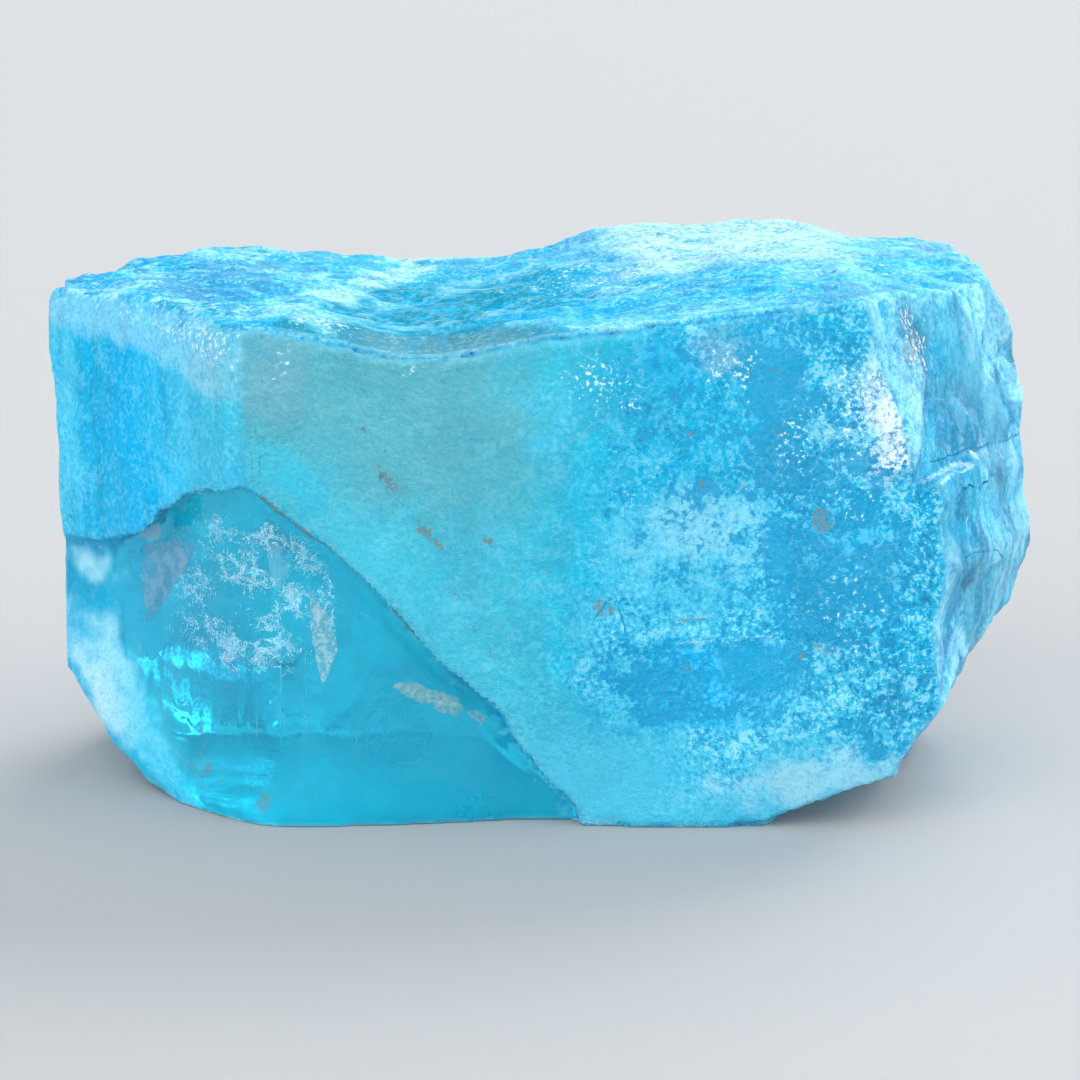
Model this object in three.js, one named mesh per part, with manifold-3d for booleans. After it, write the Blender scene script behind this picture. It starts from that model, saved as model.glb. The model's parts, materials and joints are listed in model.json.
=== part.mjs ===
// Raw aquamarine crystal: a short broken length of a six-sided beryl prism that rests on its lower break.
//
// It is one solid, because it grew as one. A straight six-sided blank is cut by rough slabs, each of which is one
// natural surface: a prism face, a break across the crystal, or a chipped corner. A layer is then spalled off the
// lower left, which bares a smooth inner fracture and leaves the front lobe standing proud of it.
//
// Millimetres. +X runs along the longest side, +Y from the front lobe to the back, +Z up along the growth axis.
// The origin is under the middle of the bounding box, on the surface that the crystal rests on.

import * as THREE from "three";
import { mergeVertices } from "three/addons/utils/BufferGeometryUtils.js";
import { ImprovedNoise } from "three/addons/math/ImprovedNoise.js";
import Module from "manifold-3d";

const wasm = await Module();
wasm.setup();

// ---- driving dimensions, in millimetres ----

// The blank's plan, anticlockwise seen from above. It is oversize wherever a slab makes the real face.
const BLANK_PLAN = {
  frontLeft: [-11.5, -11.5],
  frontRight: [16.4, -11.5],
  right: [20.6, -0.6],
  backRight: [15.4, 11.2],
  backLeft: [-15.6, 11.4],
  left: [-20.2, 0.2],
};
const BLANK_HEIGHT = 24;

// How high the top break stands along its front and back rims, as [x, z].
const FRONT_RIM_Y = -10.2;
const BACK_RIM_Y = 9.8;
const FRONT_RIM = [
  [-19.4, 19.3],
  [-9.7, 19.05],
  [-4.3, 17.9],
  [0.7, 18.8],
  [11.9, 20.15],
  [20, 19.4],
];
const BACK_RIM = [
  [-19.4, 19.3],
  [-15.3, 20.15],
  [-8.2, 19.8],
  [-6.4, 19.45],
  [-2, 19.6],
  [1.2, 20.2],
  [2.6, 21.05],
  [6.2, 21.05],
  [8.5, 21.35],
  [11.2, 21.1],
  [13.4, 20.45],
  [17.4, 20.5],
  [20, 19.6],
];
const TERRACE_RISE = 0.5;

// The lobe's free edge, from the foot of the crystal up to the old prism corner, as [x, z] on the front face.
const LOBE_EDGE = [
  [1.9, -0.8],
  [1.25, 0.4],
  [-0.2, 2.0],
  [-1.1, 3.3],
  [-2.0, 4.7],
  [-4.05, 6.4],
  [-6.05, 8.8],
  [-7.7, 10.5],
  [-9.2, 11.7],
  [-10.8, 13.2],
];
// The lower lip of the upper left block, from the lobe out to the left side.
const LIP = [
  [-12.1, 12.7],
  [-13.4, 12.2],
  [-14.3, 11.5],
  [-15.1, 10.5],
  [-17.0, 9.7],
  [-21.0, 9.4],
];

// The inner fracture under the spalled layer, in plan at CORE_PLAN_Z, from the lobe round to the left side.
const CORE_PLAN_Z = 8;
const CORE_PLAN = [
  [2, -7.3],
  [-1, -7.4],
  [-4.6, -8.0],
  [-8.6, -8.3],
  [-10.9, -7.9],
  [-13.9, -5.1],
  [-17.0, -2.2],
  [-19.0, -0.5],
  [-20.5, 0.8],
];
const CORE_LEAN = 0.1; // how far the fracture leans back, per millimetre of height

// The sharp step that crosses the right side, and the slit and the missing chip under it.
const CRACK_Z = 13.5;
const CRACK_SLIT = { width: 2.6, depth: 3.2, height: 0.28, at: [17.9, -3.6, 12.15] };
const CRACK_CHIP = { width: 1.5, depth: 2.2, height: 1.0, at: [18.9, -4.1, 11.2] };

const GRID_STEP = 1.35; // the spacing of a rough slab's relief points
const SLAB_SPAN = 56;
const SLAB_DEPTH = 30;

// ---- relief: how far a natural surface stands off its plane, by place on that plane ----

const noise = new ImprovedNoise();

/** Smooth noise of two octaves, about -1 to 1, with one bump every `length` millimetres. */
function bumps(x, y, length, seed) {
  const u = x / length;
  const v = y / length;
  return noise.noise(u, v, seed) + 0.5 * noise.noise(2 * u, 2 * v, seed + 7.3);
}

/** A growth face: nearly flat, with faint swells drawn out along the growth axis. */
const growthFace = (seed) => (x, y) => 0.22 * bumps(x, 0.35 * y, 4.5, seed);

/** A fresh break: uneven, with low humps and hollows. */
const hacklyBreak = (seed) => (x, y) => 0.36 * bumps(x, y, 4.6, seed);

/** A break that climbs in small ledges across the growth axis. */
const ledgedBreak = (seed) => (x, y) => {
  const climb = (y + 0.8 * bumps(x, y, 6, seed)) / 2.1;
  const tread = climb - Math.floor(climb);
  return 0.5 * (0.5 - tread) + 0.3 * bumps(x, y, 4, seed + 3);
};

/** The height at x of a rim given as [x, z] points, along straight lines between them. */
function rimHeight(rim, x) {
  const next = Math.max(1, rim.findIndex(([at]) => at >= x));
  const [x0, z0] = rim[next - 1];
  const [x1, z1] = rim[next];
  return THREE.MathUtils.mapLinear(THREE.MathUtils.clamp(x, x0, x1), x0, x1, z0, z1);
}

/** The top break: it rises from rim to rim in low terraces whose edges wander. */
function topBreak(x, y) {
  const across = THREE.MathUtils.clamp((y - FRONT_RIM_Y) / (BACK_RIM_Y - FRONT_RIM_Y), 0, 1);
  const swell = THREE.MathUtils.lerp(rimHeight(FRONT_RIM, x), rimHeight(BACK_RIM, x), across);
  const inside = Math.sin(Math.PI * across);
  const wander = 0.7 * bumps(0.6 * x, y, 4.2, 2.1);
  const level = (swell + wander) / TERRACE_RISE;
  const tread = level - Math.floor(level);
  const riser = THREE.MathUtils.smoothstep(tread, 0.65, 1);
  return swell + inside * (0.35 * wander + TERRACE_RISE * (riser - tread + 0.3));
}

// ---- solids ----

/** A closed three.js geometry as a manifold-3d solid. */
function solidOf(geometry) {
  geometry.deleteAttribute("normal");
  geometry.deleteAttribute("uv");
  const merged = mergeVertices(geometry, 1e-4);
  return new wasm.Manifold(
    new wasm.Mesh({
      numProp: 3,
      vertProperties: new Float32Array(merged.attributes.position.array),
      triVerts: new Uint32Array(merged.index.array),
    }),
  );
}

/** The straight six-sided blank that everything is cut from. */
function blank() {
  const plan = new THREE.Shape(Object.values(BLANK_PLAN).map(([x, y]) => new THREE.Vector2(x, y)));
  return solidOf(new THREE.ExtrudeGeometry(plan, { depth: BLANK_HEIGHT, bevelEnabled: false }));
}

/** Everything beyond the plane through `at`, whose outward direction is `normal`, with relief on that plane. */
function beyond({ at, normal, relief }) {
  const segments = Math.round(SLAB_SPAN / GRID_STEP);
  const slab = new THREE.BoxGeometry(SLAB_SPAN, SLAB_SPAN, SLAB_DEPTH, segments, segments, 1);
  slab.translate(0, 0, SLAB_DEPTH / 2);
  const place = slab.attributes.position;
  for (let i = 0; i < place.count; i++) {
    if (place.getZ(i) < SLAB_DEPTH / 2) place.setZ(i, relief(place.getX(i), place.getY(i)));
  }
  const outward = new THREE.Vector3(...normal).normalize();
  const upward = Math.abs(outward.z) > 0.9 ? new THREE.Vector3(0, 1, 0) : new THREE.Vector3(0, 0, 1);
  const sideways = new THREE.Vector3().crossVectors(upward, outward).normalize();
  upward.crossVectors(outward, sideways);
  slab.applyMatrix4(new THREE.Matrix4().makeBasis(sideways, upward, outward).setPosition(...at));
  return solidOf(slab);
}

/** The inner fracture's body: a column with a smooth curved front, which leans back as it rises. */
function core() {
  const plan = new THREE.Shape();
  plan.moveTo(22, -7.3);
  plan.lineTo(...CORE_PLAN[0]);
  plan.splineThru(CORE_PLAN.slice(1).map(([x, y]) => new THREE.Vector2(x, y)));
  plan.lineTo(-20.5, 14);
  plan.lineTo(22, 14);
  const column = new THREE.ExtrudeGeometry(plan, { depth: 20, steps: 8, bevelEnabled: false, curveSegments: 4 });
  column.translate(0, 0, -1);
  const place = column.attributes.position;
  for (let i = 0; i < place.count; i++) {
    place.setY(i, place.getY(i) + CORE_LEAN * (place.getZ(i) - CORE_PLAN_Z));
  }
  return solidOf(column);
}

/** The layer that spalled off the lower left: all that lies outside the core, left of the lobe and under the lip. */
function spalledLayer() {
  const outline = new THREE.Shape();
  outline.moveTo(-24, -4);
  outline.lineTo(...LOBE_EDGE[0]);
  outline.splineThru(LOBE_EDGE.slice(1).map(([x, z]) => new THREE.Vector2(x, z)));
  LIP.forEach(([x, z]) => outline.lineTo(x, z));
  outline.lineTo(-24, LIP.at(-1)[1]);
  const curtain = new THREE.ExtrudeGeometry(outline, { depth: 24, bevelEnabled: false, curveSegments: 2 });
  curtain.rotateX(Math.PI / 2); // the outline's y becomes z, and it reaches towards the front
  return solidOf(curtain).subtract(core());
}

/** A small box out of the right side, turned to lie in that side. */
function sideBox({ width, depth, height, at }) {
  const box = new THREE.BoxGeometry(width, depth, height);
  box.rotateZ(THREE.MathUtils.degToRad(-25)).translate(...at);
  return solidOf(box);
}

// ---- the crystal, surface by surface ----

const FACES = [
  { name: "front prism face", at: [0, -9.1, 0], normal: [0, -1, -0.06], relief: growthFace(1.5) },
  { name: "left front face", at: [-11.3, -10.1, 14], normal: [-0.78, -0.62, 0], relief: growthFace(4.5) },
  { name: "left side", at: [-19.05, 1, 10], normal: [-1, 0.12, -0.03], relief: hacklyBreak(8.5) },
  { name: "right front face", at: [15.6, -8.2, 8], normal: [0.885, -0.465, 0], relief: ledgedBreak(12.5) },
  { name: "right side", at: [19.3, 0.4, 11], normal: [1, 0.2, 0], relief: hacklyBreak(16.5) },
  { name: "back right face", at: [17.4, 7.4, 10], normal: [0.8, 0.6, 0.02], relief: growthFace(20.5) },
  { name: "back prism face", at: [0, 10.4, 10], normal: [0.03, 1, 0.04], relief: growthFace(24.5) },
  { name: "back left face", at: [-17.2, 6.6, 10], normal: [-0.8, 0.6, 0.06], relief: hacklyBreak(28.5) },
];

const CHIPS = [
  { name: "top left bevel", at: [-15.3, -5.2, 18.3], normal: [-0.66, -0.52, 0.55], relief: hacklyBreak(31.5) },
  { name: "right side, upper", at: [18.4, 0.4, 16.4], normal: [1, 0.1, 0.19], relief: hacklyBreak(61.5) },
  { name: "top right shoulder", at: [17.6, 1, 19.6], normal: [0.8, 0, 0.6], relief: hacklyBreak(34.5) },
  { name: "foot, left", at: [-18.5, -1, 3.7], normal: [-0.82, -0.1, -0.56], relief: growthFace(37.5) },
  { name: "foot, left low", at: [-15.9, -2, 0.5], normal: [-0.62, -0.25, -0.74], relief: growthFace(40.5) },
  { name: "foot, right", at: [18.3, -0.5, 6.7], normal: [0.84, -0.22, -0.5], relief: ledgedBreak(43.5) },
  { name: "foot, right low", at: [12.7, -8.6, 1.6], normal: [0.36, -0.2, -0.91], relief: growthFace(46.5) },
  { name: "foot, back", at: [0, 10.2, 3.4], normal: [0.1, 0.75, -0.66], relief: hacklyBreak(49.5) },
  { name: "top, back left", at: [-17.5, 8.6, 19.7], normal: [-0.55, 0.45, 0.7], relief: hacklyBreak(52.5) },
];

/** The thinner slice that is missing from the right side above the crack. */
function missingAboveCrack() {
  const side = { at: [12.9, -8.9, 19.2], normal: [0.808, -0.558, 0.188], relief: hacklyBreak(55.5) };
  const floor = { at: [15.8, -5, CRACK_Z], normal: [-0.15, 0, 1], relief: growthFace(58.5) };
  return beyond(side).intersect(beyond(floor));
}

/** The whole crystal as one solid. */
function crystalSolid() {
  let solid = blank();
  for (const surface of [...FACES, ...CHIPS]) solid = solid.subtract(beyond(surface));
  solid = solid.subtract(beyond({ at: [0, 0, 0], normal: [0, 0, 1], relief: topBreak }));
  solid = solid.subtract(missingAboveCrack());
  solid = solid.subtract(spalledLayer());
  return solid.subtract(sideBox(CRACK_SLIT)).subtract(sideBox(CRACK_CHIP));
}

/** A manifold-3d solid as a three.js geometry with flat-shaded faces. */
function geometryOf(solid) {
  const mesh = solid.getMesh();
  const geometry = new THREE.BufferGeometry();
  geometry.setAttribute("position", new THREE.BufferAttribute(mesh.vertProperties, mesh.numProp));
  geometry.setIndex(new THREE.BufferAttribute(mesh.triVerts, 1));
  const faceted = geometry.toNonIndexed();
  faceted.computeVertexNormals();
  return faceted;
}

/** Puts the origin under the middle of the bounding box, on the plane that the crystal rests on. */
function centred(geometry) {
  geometry.computeBoundingBox();
  const middle = geometry.boundingBox.getCenter(new THREE.Vector3());
  return geometry.translate(-middle.x, -middle.y, -geometry.boundingBox.min.z);
}

const crystal = new THREE.Mesh(
  centred(geometryOf(crystalSolid())),
  new THREE.MeshStandardMaterial({ color: 0x4fc3e8, roughness: 0.35, metalness: 0 }),
);
crystal.name = "crystal";

const part = new THREE.Group();
part.add(crystal);

export default part;
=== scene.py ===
"""Raw aquamarine crystal: the frosted, see-through body, what is sealed in it, and a pale studio.

Lengths are millimetres, as a specimen is measured, and MM turns them into the frame's metres.
"""

import json
import logging
import math
from dataclasses import dataclass, field
from enum import Enum, IntEnum
from typing import Any, Callable, Iterator, Sequence

import bmesh
import bpy
import numpy as np
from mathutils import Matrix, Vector
from mathutils.bvhtree import BVHTree

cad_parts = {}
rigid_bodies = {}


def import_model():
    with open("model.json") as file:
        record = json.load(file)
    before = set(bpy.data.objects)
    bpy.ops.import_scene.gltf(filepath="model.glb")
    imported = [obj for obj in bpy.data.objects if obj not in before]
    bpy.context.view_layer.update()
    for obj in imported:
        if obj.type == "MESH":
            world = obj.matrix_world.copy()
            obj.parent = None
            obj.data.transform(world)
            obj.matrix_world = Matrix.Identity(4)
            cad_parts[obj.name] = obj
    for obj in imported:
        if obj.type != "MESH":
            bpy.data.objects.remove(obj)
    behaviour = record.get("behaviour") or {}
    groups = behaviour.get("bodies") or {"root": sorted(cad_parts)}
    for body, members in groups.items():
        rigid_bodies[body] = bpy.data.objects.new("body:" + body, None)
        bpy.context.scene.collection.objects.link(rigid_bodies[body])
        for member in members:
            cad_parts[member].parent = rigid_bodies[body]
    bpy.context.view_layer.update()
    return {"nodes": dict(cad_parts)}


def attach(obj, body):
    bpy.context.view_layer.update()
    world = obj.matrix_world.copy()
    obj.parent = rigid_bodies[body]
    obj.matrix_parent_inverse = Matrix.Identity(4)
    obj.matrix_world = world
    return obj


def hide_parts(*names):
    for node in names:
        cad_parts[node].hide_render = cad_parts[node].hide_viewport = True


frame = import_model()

LOG = logging.getLogger("aquamarine")
Array = np.ndarray
Pair = tuple[float, float]
Colour = tuple[float, float, float]
Point = tuple[float, float, float]

MM = 0.001
NODE = "crystal"
BODY = "root"


# ---------------------------------------------------------------- numbers over many points


def smoothstep(value: Array, low: float, high: float) -> Array:
    """A soft step that rises from 0 at low to 1 at high, and falls where low is above high.

    Args:
        value: The numbers to step.
        low: Where the step starts.
        high: Where the step ends.

    Returns:
        Numbers from 0 to 1.
    """
    t = np.clip((value - low) / (high - low), 0.0, 1.0)
    return t * t * (3.0 - 2.0 * t)


def band(value: Array, low: float, high: float, soft: float) -> Array:
    """1 between low and high, falling to 0 over soft on each side.

    Args:
        value: The numbers to test.
        low: Lower end of the band.
        high: Upper end of the band.
        soft: Width of each soft side.

    Returns:
        Numbers from 0 to 1.
    """
    return smoothstep(value, low - soft, low) * smoothstep(value, high + soft, high)


class Seed(IntEnum):
    """What each run of random numbers starts from."""

    TOP_HACKLE = 3
    TOP_FACETS = 5
    LOBE_SWELL = 11
    LOBE_STRIAE = 12
    LOBE_CHIPS = 13
    LOBE_PITS = 14
    LOBE_STEPS = 15
    BARED_SWELL = 17
    BARED_STRIAE = 18
    BLOCK_FACETS = 19
    BLOCK_STREAKS = 20
    RIGHT_BROAD = 22
    RIGHT_FINE = 23
    REST_BROAD = 28
    REST_FINE = 29
    REST_STEPS = 31
    REST_WHERE = 32
    REST_FACES = 33
    BEND_X = 35
    BEND_Y = 36
    BEND_Z = 37
    CLOUD = 41
    STREAK = 42
    WARP = 43
    TOP_STREAKS = 44
    SHEET = 45
    RIGHT_FACES = 46
    RIGHT_STREAKS = 47
    BLOCK_TINT = 48
    REST_STREAKS = 49
    LOBE_STREAKS = 50
    SEAM_SHIFT = 51
    RIGHT_SPLINTERS = 55
    VEIL_FLECKS = 61
    VEIL_PATCHES = 62
    TUBE_WIDTHS = 65
    VEIL_NET = 66
    VEIL_BEND_X = 67
    VEIL_BEND_Z = 68
    EDGE_BITES = 71
    EDGE_NICKS = 72
    SHARD_LILAC = 81
    SHARD_ROSY = 82
    TAN_GRAINS = 91
    ROSE_GRAIN = 94


@dataclass(frozen=True)
class Grain:
    """Repeatable noise in three dimensions, for relief that no two crystals share."""

    seed: int
    steps: tuple[int, int, int] = (374761393, 668265263, 1440662683)
    salt_step: int = 974634777
    stirs: tuple[tuple[int, int], ...] = ((13, 1274126177), (16, 2246822519))
    last_shift: int = 15
    mask: int = 0xFFFFFFFF

    def _chance(self, cell: Array, salt: int) -> Array:
        """A repeatable number for each cell, by an integer hash.

        Args:
            cell: Whole-numbered places, one row each.
            salt: Tells apart the numbers that one cell needs.

        Returns:
            Numbers from 0 to 1.
        """
        i = cell.astype(np.int64)
        h = sum(i[..., axis] * step for axis, step in enumerate(self.steps))
        h = (h + (self.seed * 97 + salt) * self.salt_step) & self.mask
        for shift, factor in self.stirs:
            h = ((h ^ (h >> shift)) * factor) & self.mask
        return (h ^ (h >> self.last_shift)) / self.mask

    def waves(self, points: Array, length: float | Point, octaves: int = 1) -> Array:
        """Smooth noise of about -1 to 1.

        Args:
            points: Places, one row each, in millimetres.
            length: Size of one wave, or its size along each axis, in millimetres.
            octaves: How many finer and fainter layers to add up.

        Returns:
            One number for each place.
        """
        total = np.zeros(len(points))
        scaled = points / np.asarray(length, float)
        for octave in range(octaves):
            total += self._one_wave(scaled * 2.0**octave + 17.3 * octave, octave) * 0.5**octave
        return total

    def _one_wave(self, places: Array, salt: int) -> Array:
        """One layer of gradient noise.

        Args:
            places: Places in waves, one row each.
            salt: Tells this layer from the others.

        Returns:
            Numbers of about -1 to 1.
        """
        cell = np.floor(places)
        inside = places - cell
        ease = inside**3 * (inside * (inside * 6.0 - 15.0) + 10.0)
        total = np.zeros(len(places))
        for corner in np.ndindex(2, 2, 2):
            step = np.array(corner, float)
            at = cell + step
            turn = 2.0 * math.pi * self._chance(at, 11 + salt)
            rise = 2.0 * self._chance(at, 23 + salt) - 1.0
            flat = np.sqrt(1.0 - rise * rise)
            away = inside - step
            slope = away[:, 0] * flat * np.cos(turn) + away[:, 1] * flat * np.sin(turn) + away[:, 2] * rise
            weight = np.prod(np.where(step > 0.5, ease, 1.0 - ease), axis=1)
            total += slope * weight
        return 1.6 * total

    def ridges(self, points: Array, length: float | Point, octaves: int = 3) -> Array:
        """Noise with sharp crests.

        Args:
            points: Places, one row each, in millimetres.
            length: Size of one wave, or its size along each axis, in millimetres.
            octaves: How many finer and fainter layers to add up.

        Returns:
            Numbers from 0 in the hollows to about 1 on the crests.
        """
        total, weight = np.zeros(len(points)), 0.0
        scaled = points / np.asarray(length, float)
        for octave in range(octaves):
            share = 0.5**octave
            wave = self._one_wave(scaled * 2.0**octave + 5.1 * octave, octave)
            total += share * (1.0 - np.abs(wave)) ** 2
            weight += share
        return total / weight

    def creases(self, points: Array, length: float | Point, octaves: int = 1) -> Array:
        """A relief of rounded facets that meet in crisp valleys.

        Args:
            points: Places, one row each, in millimetres.
            length: Size of one facet group, or its size along each axis, in millimetres.
            octaves: How many finer and fainter layers to add up.

        Returns:
            Numbers from 0 along the valleys upwards.
        """
        total = np.zeros(len(points))
        for octave in range(octaves):
            scaled = points / np.asarray(length, float) * 2.3**octave + 7.7 * octave
            base = np.floor(scaled)
            near, second = np.full(len(points), 9.0), np.full(len(points), 9.0)
            salts = [3 * octave + salt for salt in (1, 2, 3)]
            for step in np.ndindex(3, 3, 3):
                cell = base + np.array(step, float) - 1.0
                centre = cell + np.stack([self._chance(cell, salt) for salt in salts], axis=1)
                far = ((scaled - centre) ** 2).sum(axis=1)
                second = np.minimum(second, np.maximum(near, far))
                near = np.minimum(near, far)
            total += (second - near) * 0.45**octave
        return total

    def facets(self, points: Array, length: float | Point) -> tuple[Array, Array, Array]:
        """Splits space into irregular cells, as a fracture splits into flat facets.

        Args:
            points: Places, one row each, in millimetres.
            length: Size of one cell, or its size along each axis, in millimetres.

        Returns:
            The height of each cell's tilted plane, about -1 to 1; the distance to the nearest cell
            border, in cells; and a number from 0 to 1 that is the same all over one cell.
        """
        scaled = points / np.asarray(length, float)
        base = np.floor(scaled)
        near, second = np.full(len(points), 9.0), np.full(len(points), 9.0)
        tilt, label = np.zeros(len(points)), np.zeros(len(points))
        for step in np.ndindex(3, 3, 3):
            cell = base + np.array(step, float) - 1.0
            centre = cell + np.stack([self._chance(cell, salt) for salt in (1, 2, 3)], axis=1)
            away = scaled - centre
            far = np.sqrt((away**2).sum(axis=1))
            lean = np.stack([self._chance(cell, salt) - 0.5 for salt in (4, 5, 6)], axis=1)
            closer = far < near
            second = np.where(closer, near, np.minimum(second, far))
            tilt = np.where(closer, 2.0 * (away * lean).sum(axis=1), tilt)
            label = np.where(closer, self._chance(cell, 7), label)
            near = np.where(closer, far, near)
        return tilt, second - near, label


# ---------------------------------------------------------------- shader expressions


class Wire:
    """One output socket of a node tree, on which Python's operators add Math or Vector Math nodes."""

    def __init__(self, tree: "Tree", socket: bpy.types.NodeSocket) -> None:
        """Wraps a socket.

        Args:
            tree: The tree that the socket's node is in.
            socket: An output socket.
        """
        self.tree = tree
        self.socket = socket

    def _math(self, operation: str, *values: Any) -> "Wire":
        """A Math node on these values."""
        return self.tree.node("Math", {"operation": operation}, dict(enumerate(values)))

    def __add__(self, other: Any) -> "Wire":
        """self + other."""
        return self._math("ADD", self, other)

    def __radd__(self, other: Any) -> "Wire":
        """other + self."""
        return self._math("ADD", other, self)

    def __sub__(self, other: Any) -> "Wire":
        """self - other."""
        return self._math("SUBTRACT", self, other)

    def __rsub__(self, other: Any) -> "Wire":
        """other - self."""
        return self._math("SUBTRACT", other, self)

    def __mul__(self, other: Any) -> "Wire":
        """self * other."""
        return self._math("MULTIPLY", self, other)

    def __rmul__(self, other: Any) -> "Wire":
        """other * self."""
        return self._math("MULTIPLY", other, self)

    def clamp(self, low: float = 0.0, high: float = 1.0) -> "Wire":
        """self, kept between low and high."""
        return self._math("MINIMUM", self._math("MAXIMUM", self, low), high)

    def ramp(self, low: float, high: float) -> "Wire":
        """0 below low and 1 above high with a soft step, or falling where low is above high."""
        values = {"Value": self, "From Min": low, "From Max": high}
        return self.tree.node("MapRange", {"interpolation_type": "SMOOTHSTEP"}, values)


class Tree:
    """A material's node tree, and the few calls that build it."""

    def __init__(self, name: str) -> None:
        """Starts an empty material.

        Args:
            name: The material's name.
        """
        self.material = bpy.data.materials.new(name)
        self.material.use_nodes = True
        self.nodes = self.material.node_tree.nodes
        self.links = self.material.node_tree.links
        self.nodes.clear()

    def node(self, kind: str, settings: dict[str, Any], values: dict[Any, Any], out: Any = 0) -> Wire:
        """Adds any shader node.

        Args:
            kind: The node's type, without the "ShaderNode" before it.
            settings: What is set on the node before its sockets.
            values: Socket name or number, to a plain value or a Wire.
            out: Name or number of the output that is wanted.

        Returns:
            That output.
        """
        made = self.nodes.new("ShaderNode" + kind)
        for name, value in settings.items():
            setattr(made, name, value)
        for name, value in values.items():
            if isinstance(value, Wire):
                self.links.new(value.socket, made.inputs[name])
            else:
                made.inputs[name].default_value = value
        return Wire(self, made.outputs[out])

    def mix(self, share: Any, first: Any, second: Any) -> Wire:
        """A colour mixed from first, at share 0, to second, at share 1."""
        return self.node("Mix", {"data_type": "RGBA"}, {0: share, 6: first, 7: second}, 2)

    def stored(self, name: str) -> Wire:
        """The colour that the mesh stores at its points under this name."""
        return self.node("Attribute", {"attribute_name": name}, {}, "Color")

    def split(self, colour: Wire) -> tuple[Wire, ...]:
        """A colour's three parts."""
        node = self.node("SeparateColor", {}, {"Color": colour}).socket.node
        return tuple(Wire(self, output) for output in node.outputs)

    def noise(self, size_mm: float, detail: float, roughness: float = 0.5) -> Wire:
        """Noise from 0 to 1 in the crystal's own space.

        Args:
            size_mm: Size of one wave, in millimetres.
            detail: How many finer layers it has.
            roughness: How strong the finer layers are.

        Returns:
            The noise.
        """
        place = self.node("TexCoord", {}, {}, "Object")
        scale = (1.0 / (size_mm * MM),) * 3
        at = self.node("Mapping", {}, {"Vector": place, "Scale": scale})
        values = {"Vector": at, "Scale": 1.0, "Detail": detail, "Roughness": roughness}
        return self.node("TexNoise", {}, values)

    def bump(self, height: Wire, depth_mm: float) -> Wire:
        """A normal that leans as a relief of this height and depth would make it."""
        values = {"Height": height, "Distance": depth_mm * MM, "Strength": 1.0}
        return self.node("Bump", {}, values)

    def finish(self, surface: Wire, volume: Wire | None = None) -> bpy.types.Material:
        """Joins the shader, and what fills the piece, to the output.

        Args:
            surface: The surface shader.
            volume: The volume shader, if it has one.

        Returns:
            The material.
        """
        output = self.nodes.new("ShaderNodeOutputMaterial")
        self.links.new(surface.socket, output.inputs["Surface"])
        if volume is not None:
            self.links.new(volume.socket, output.inputs["Volume"])
        return self.material


# ---------------------------------------------------------------- finishes


class Hue(Enum):
    """The crystal's colours, as light that they give back."""

    SKY = (0.004, 0.50, 0.80)
    PALE = (0.10, 0.69, 0.94)
    ICE = (0.42, 0.84, 0.99)
    AQUA = (0.06, 0.55, 0.68)
    TEAL = (0.13, 0.45, 0.50)
    LAGOON = (0.0, 0.70, 0.97)
    LENS = (0.0, 0.22, 0.31)
    SLATE = (0.08, 0.27, 0.34)
    DEEP = (0.0, 0.50, 0.92)
    ABYSS = (0.0, 0.26, 0.58)
    CRACK = (0.0, 0.11, 0.22)
    RUST = (0.18, 0.19, 0.19)
    ROSE = (0.40, 0.47, 0.56)
    FROST = (0.80, 0.93, 0.98)

    def rgb(self) -> Array:
        """The colour as an array."""
        return np.array(self.value)

    def rgba(self) -> tuple[float, float, float, float]:
        """The colour as a socket takes it."""
        return (*self.value, 1.0)


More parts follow.
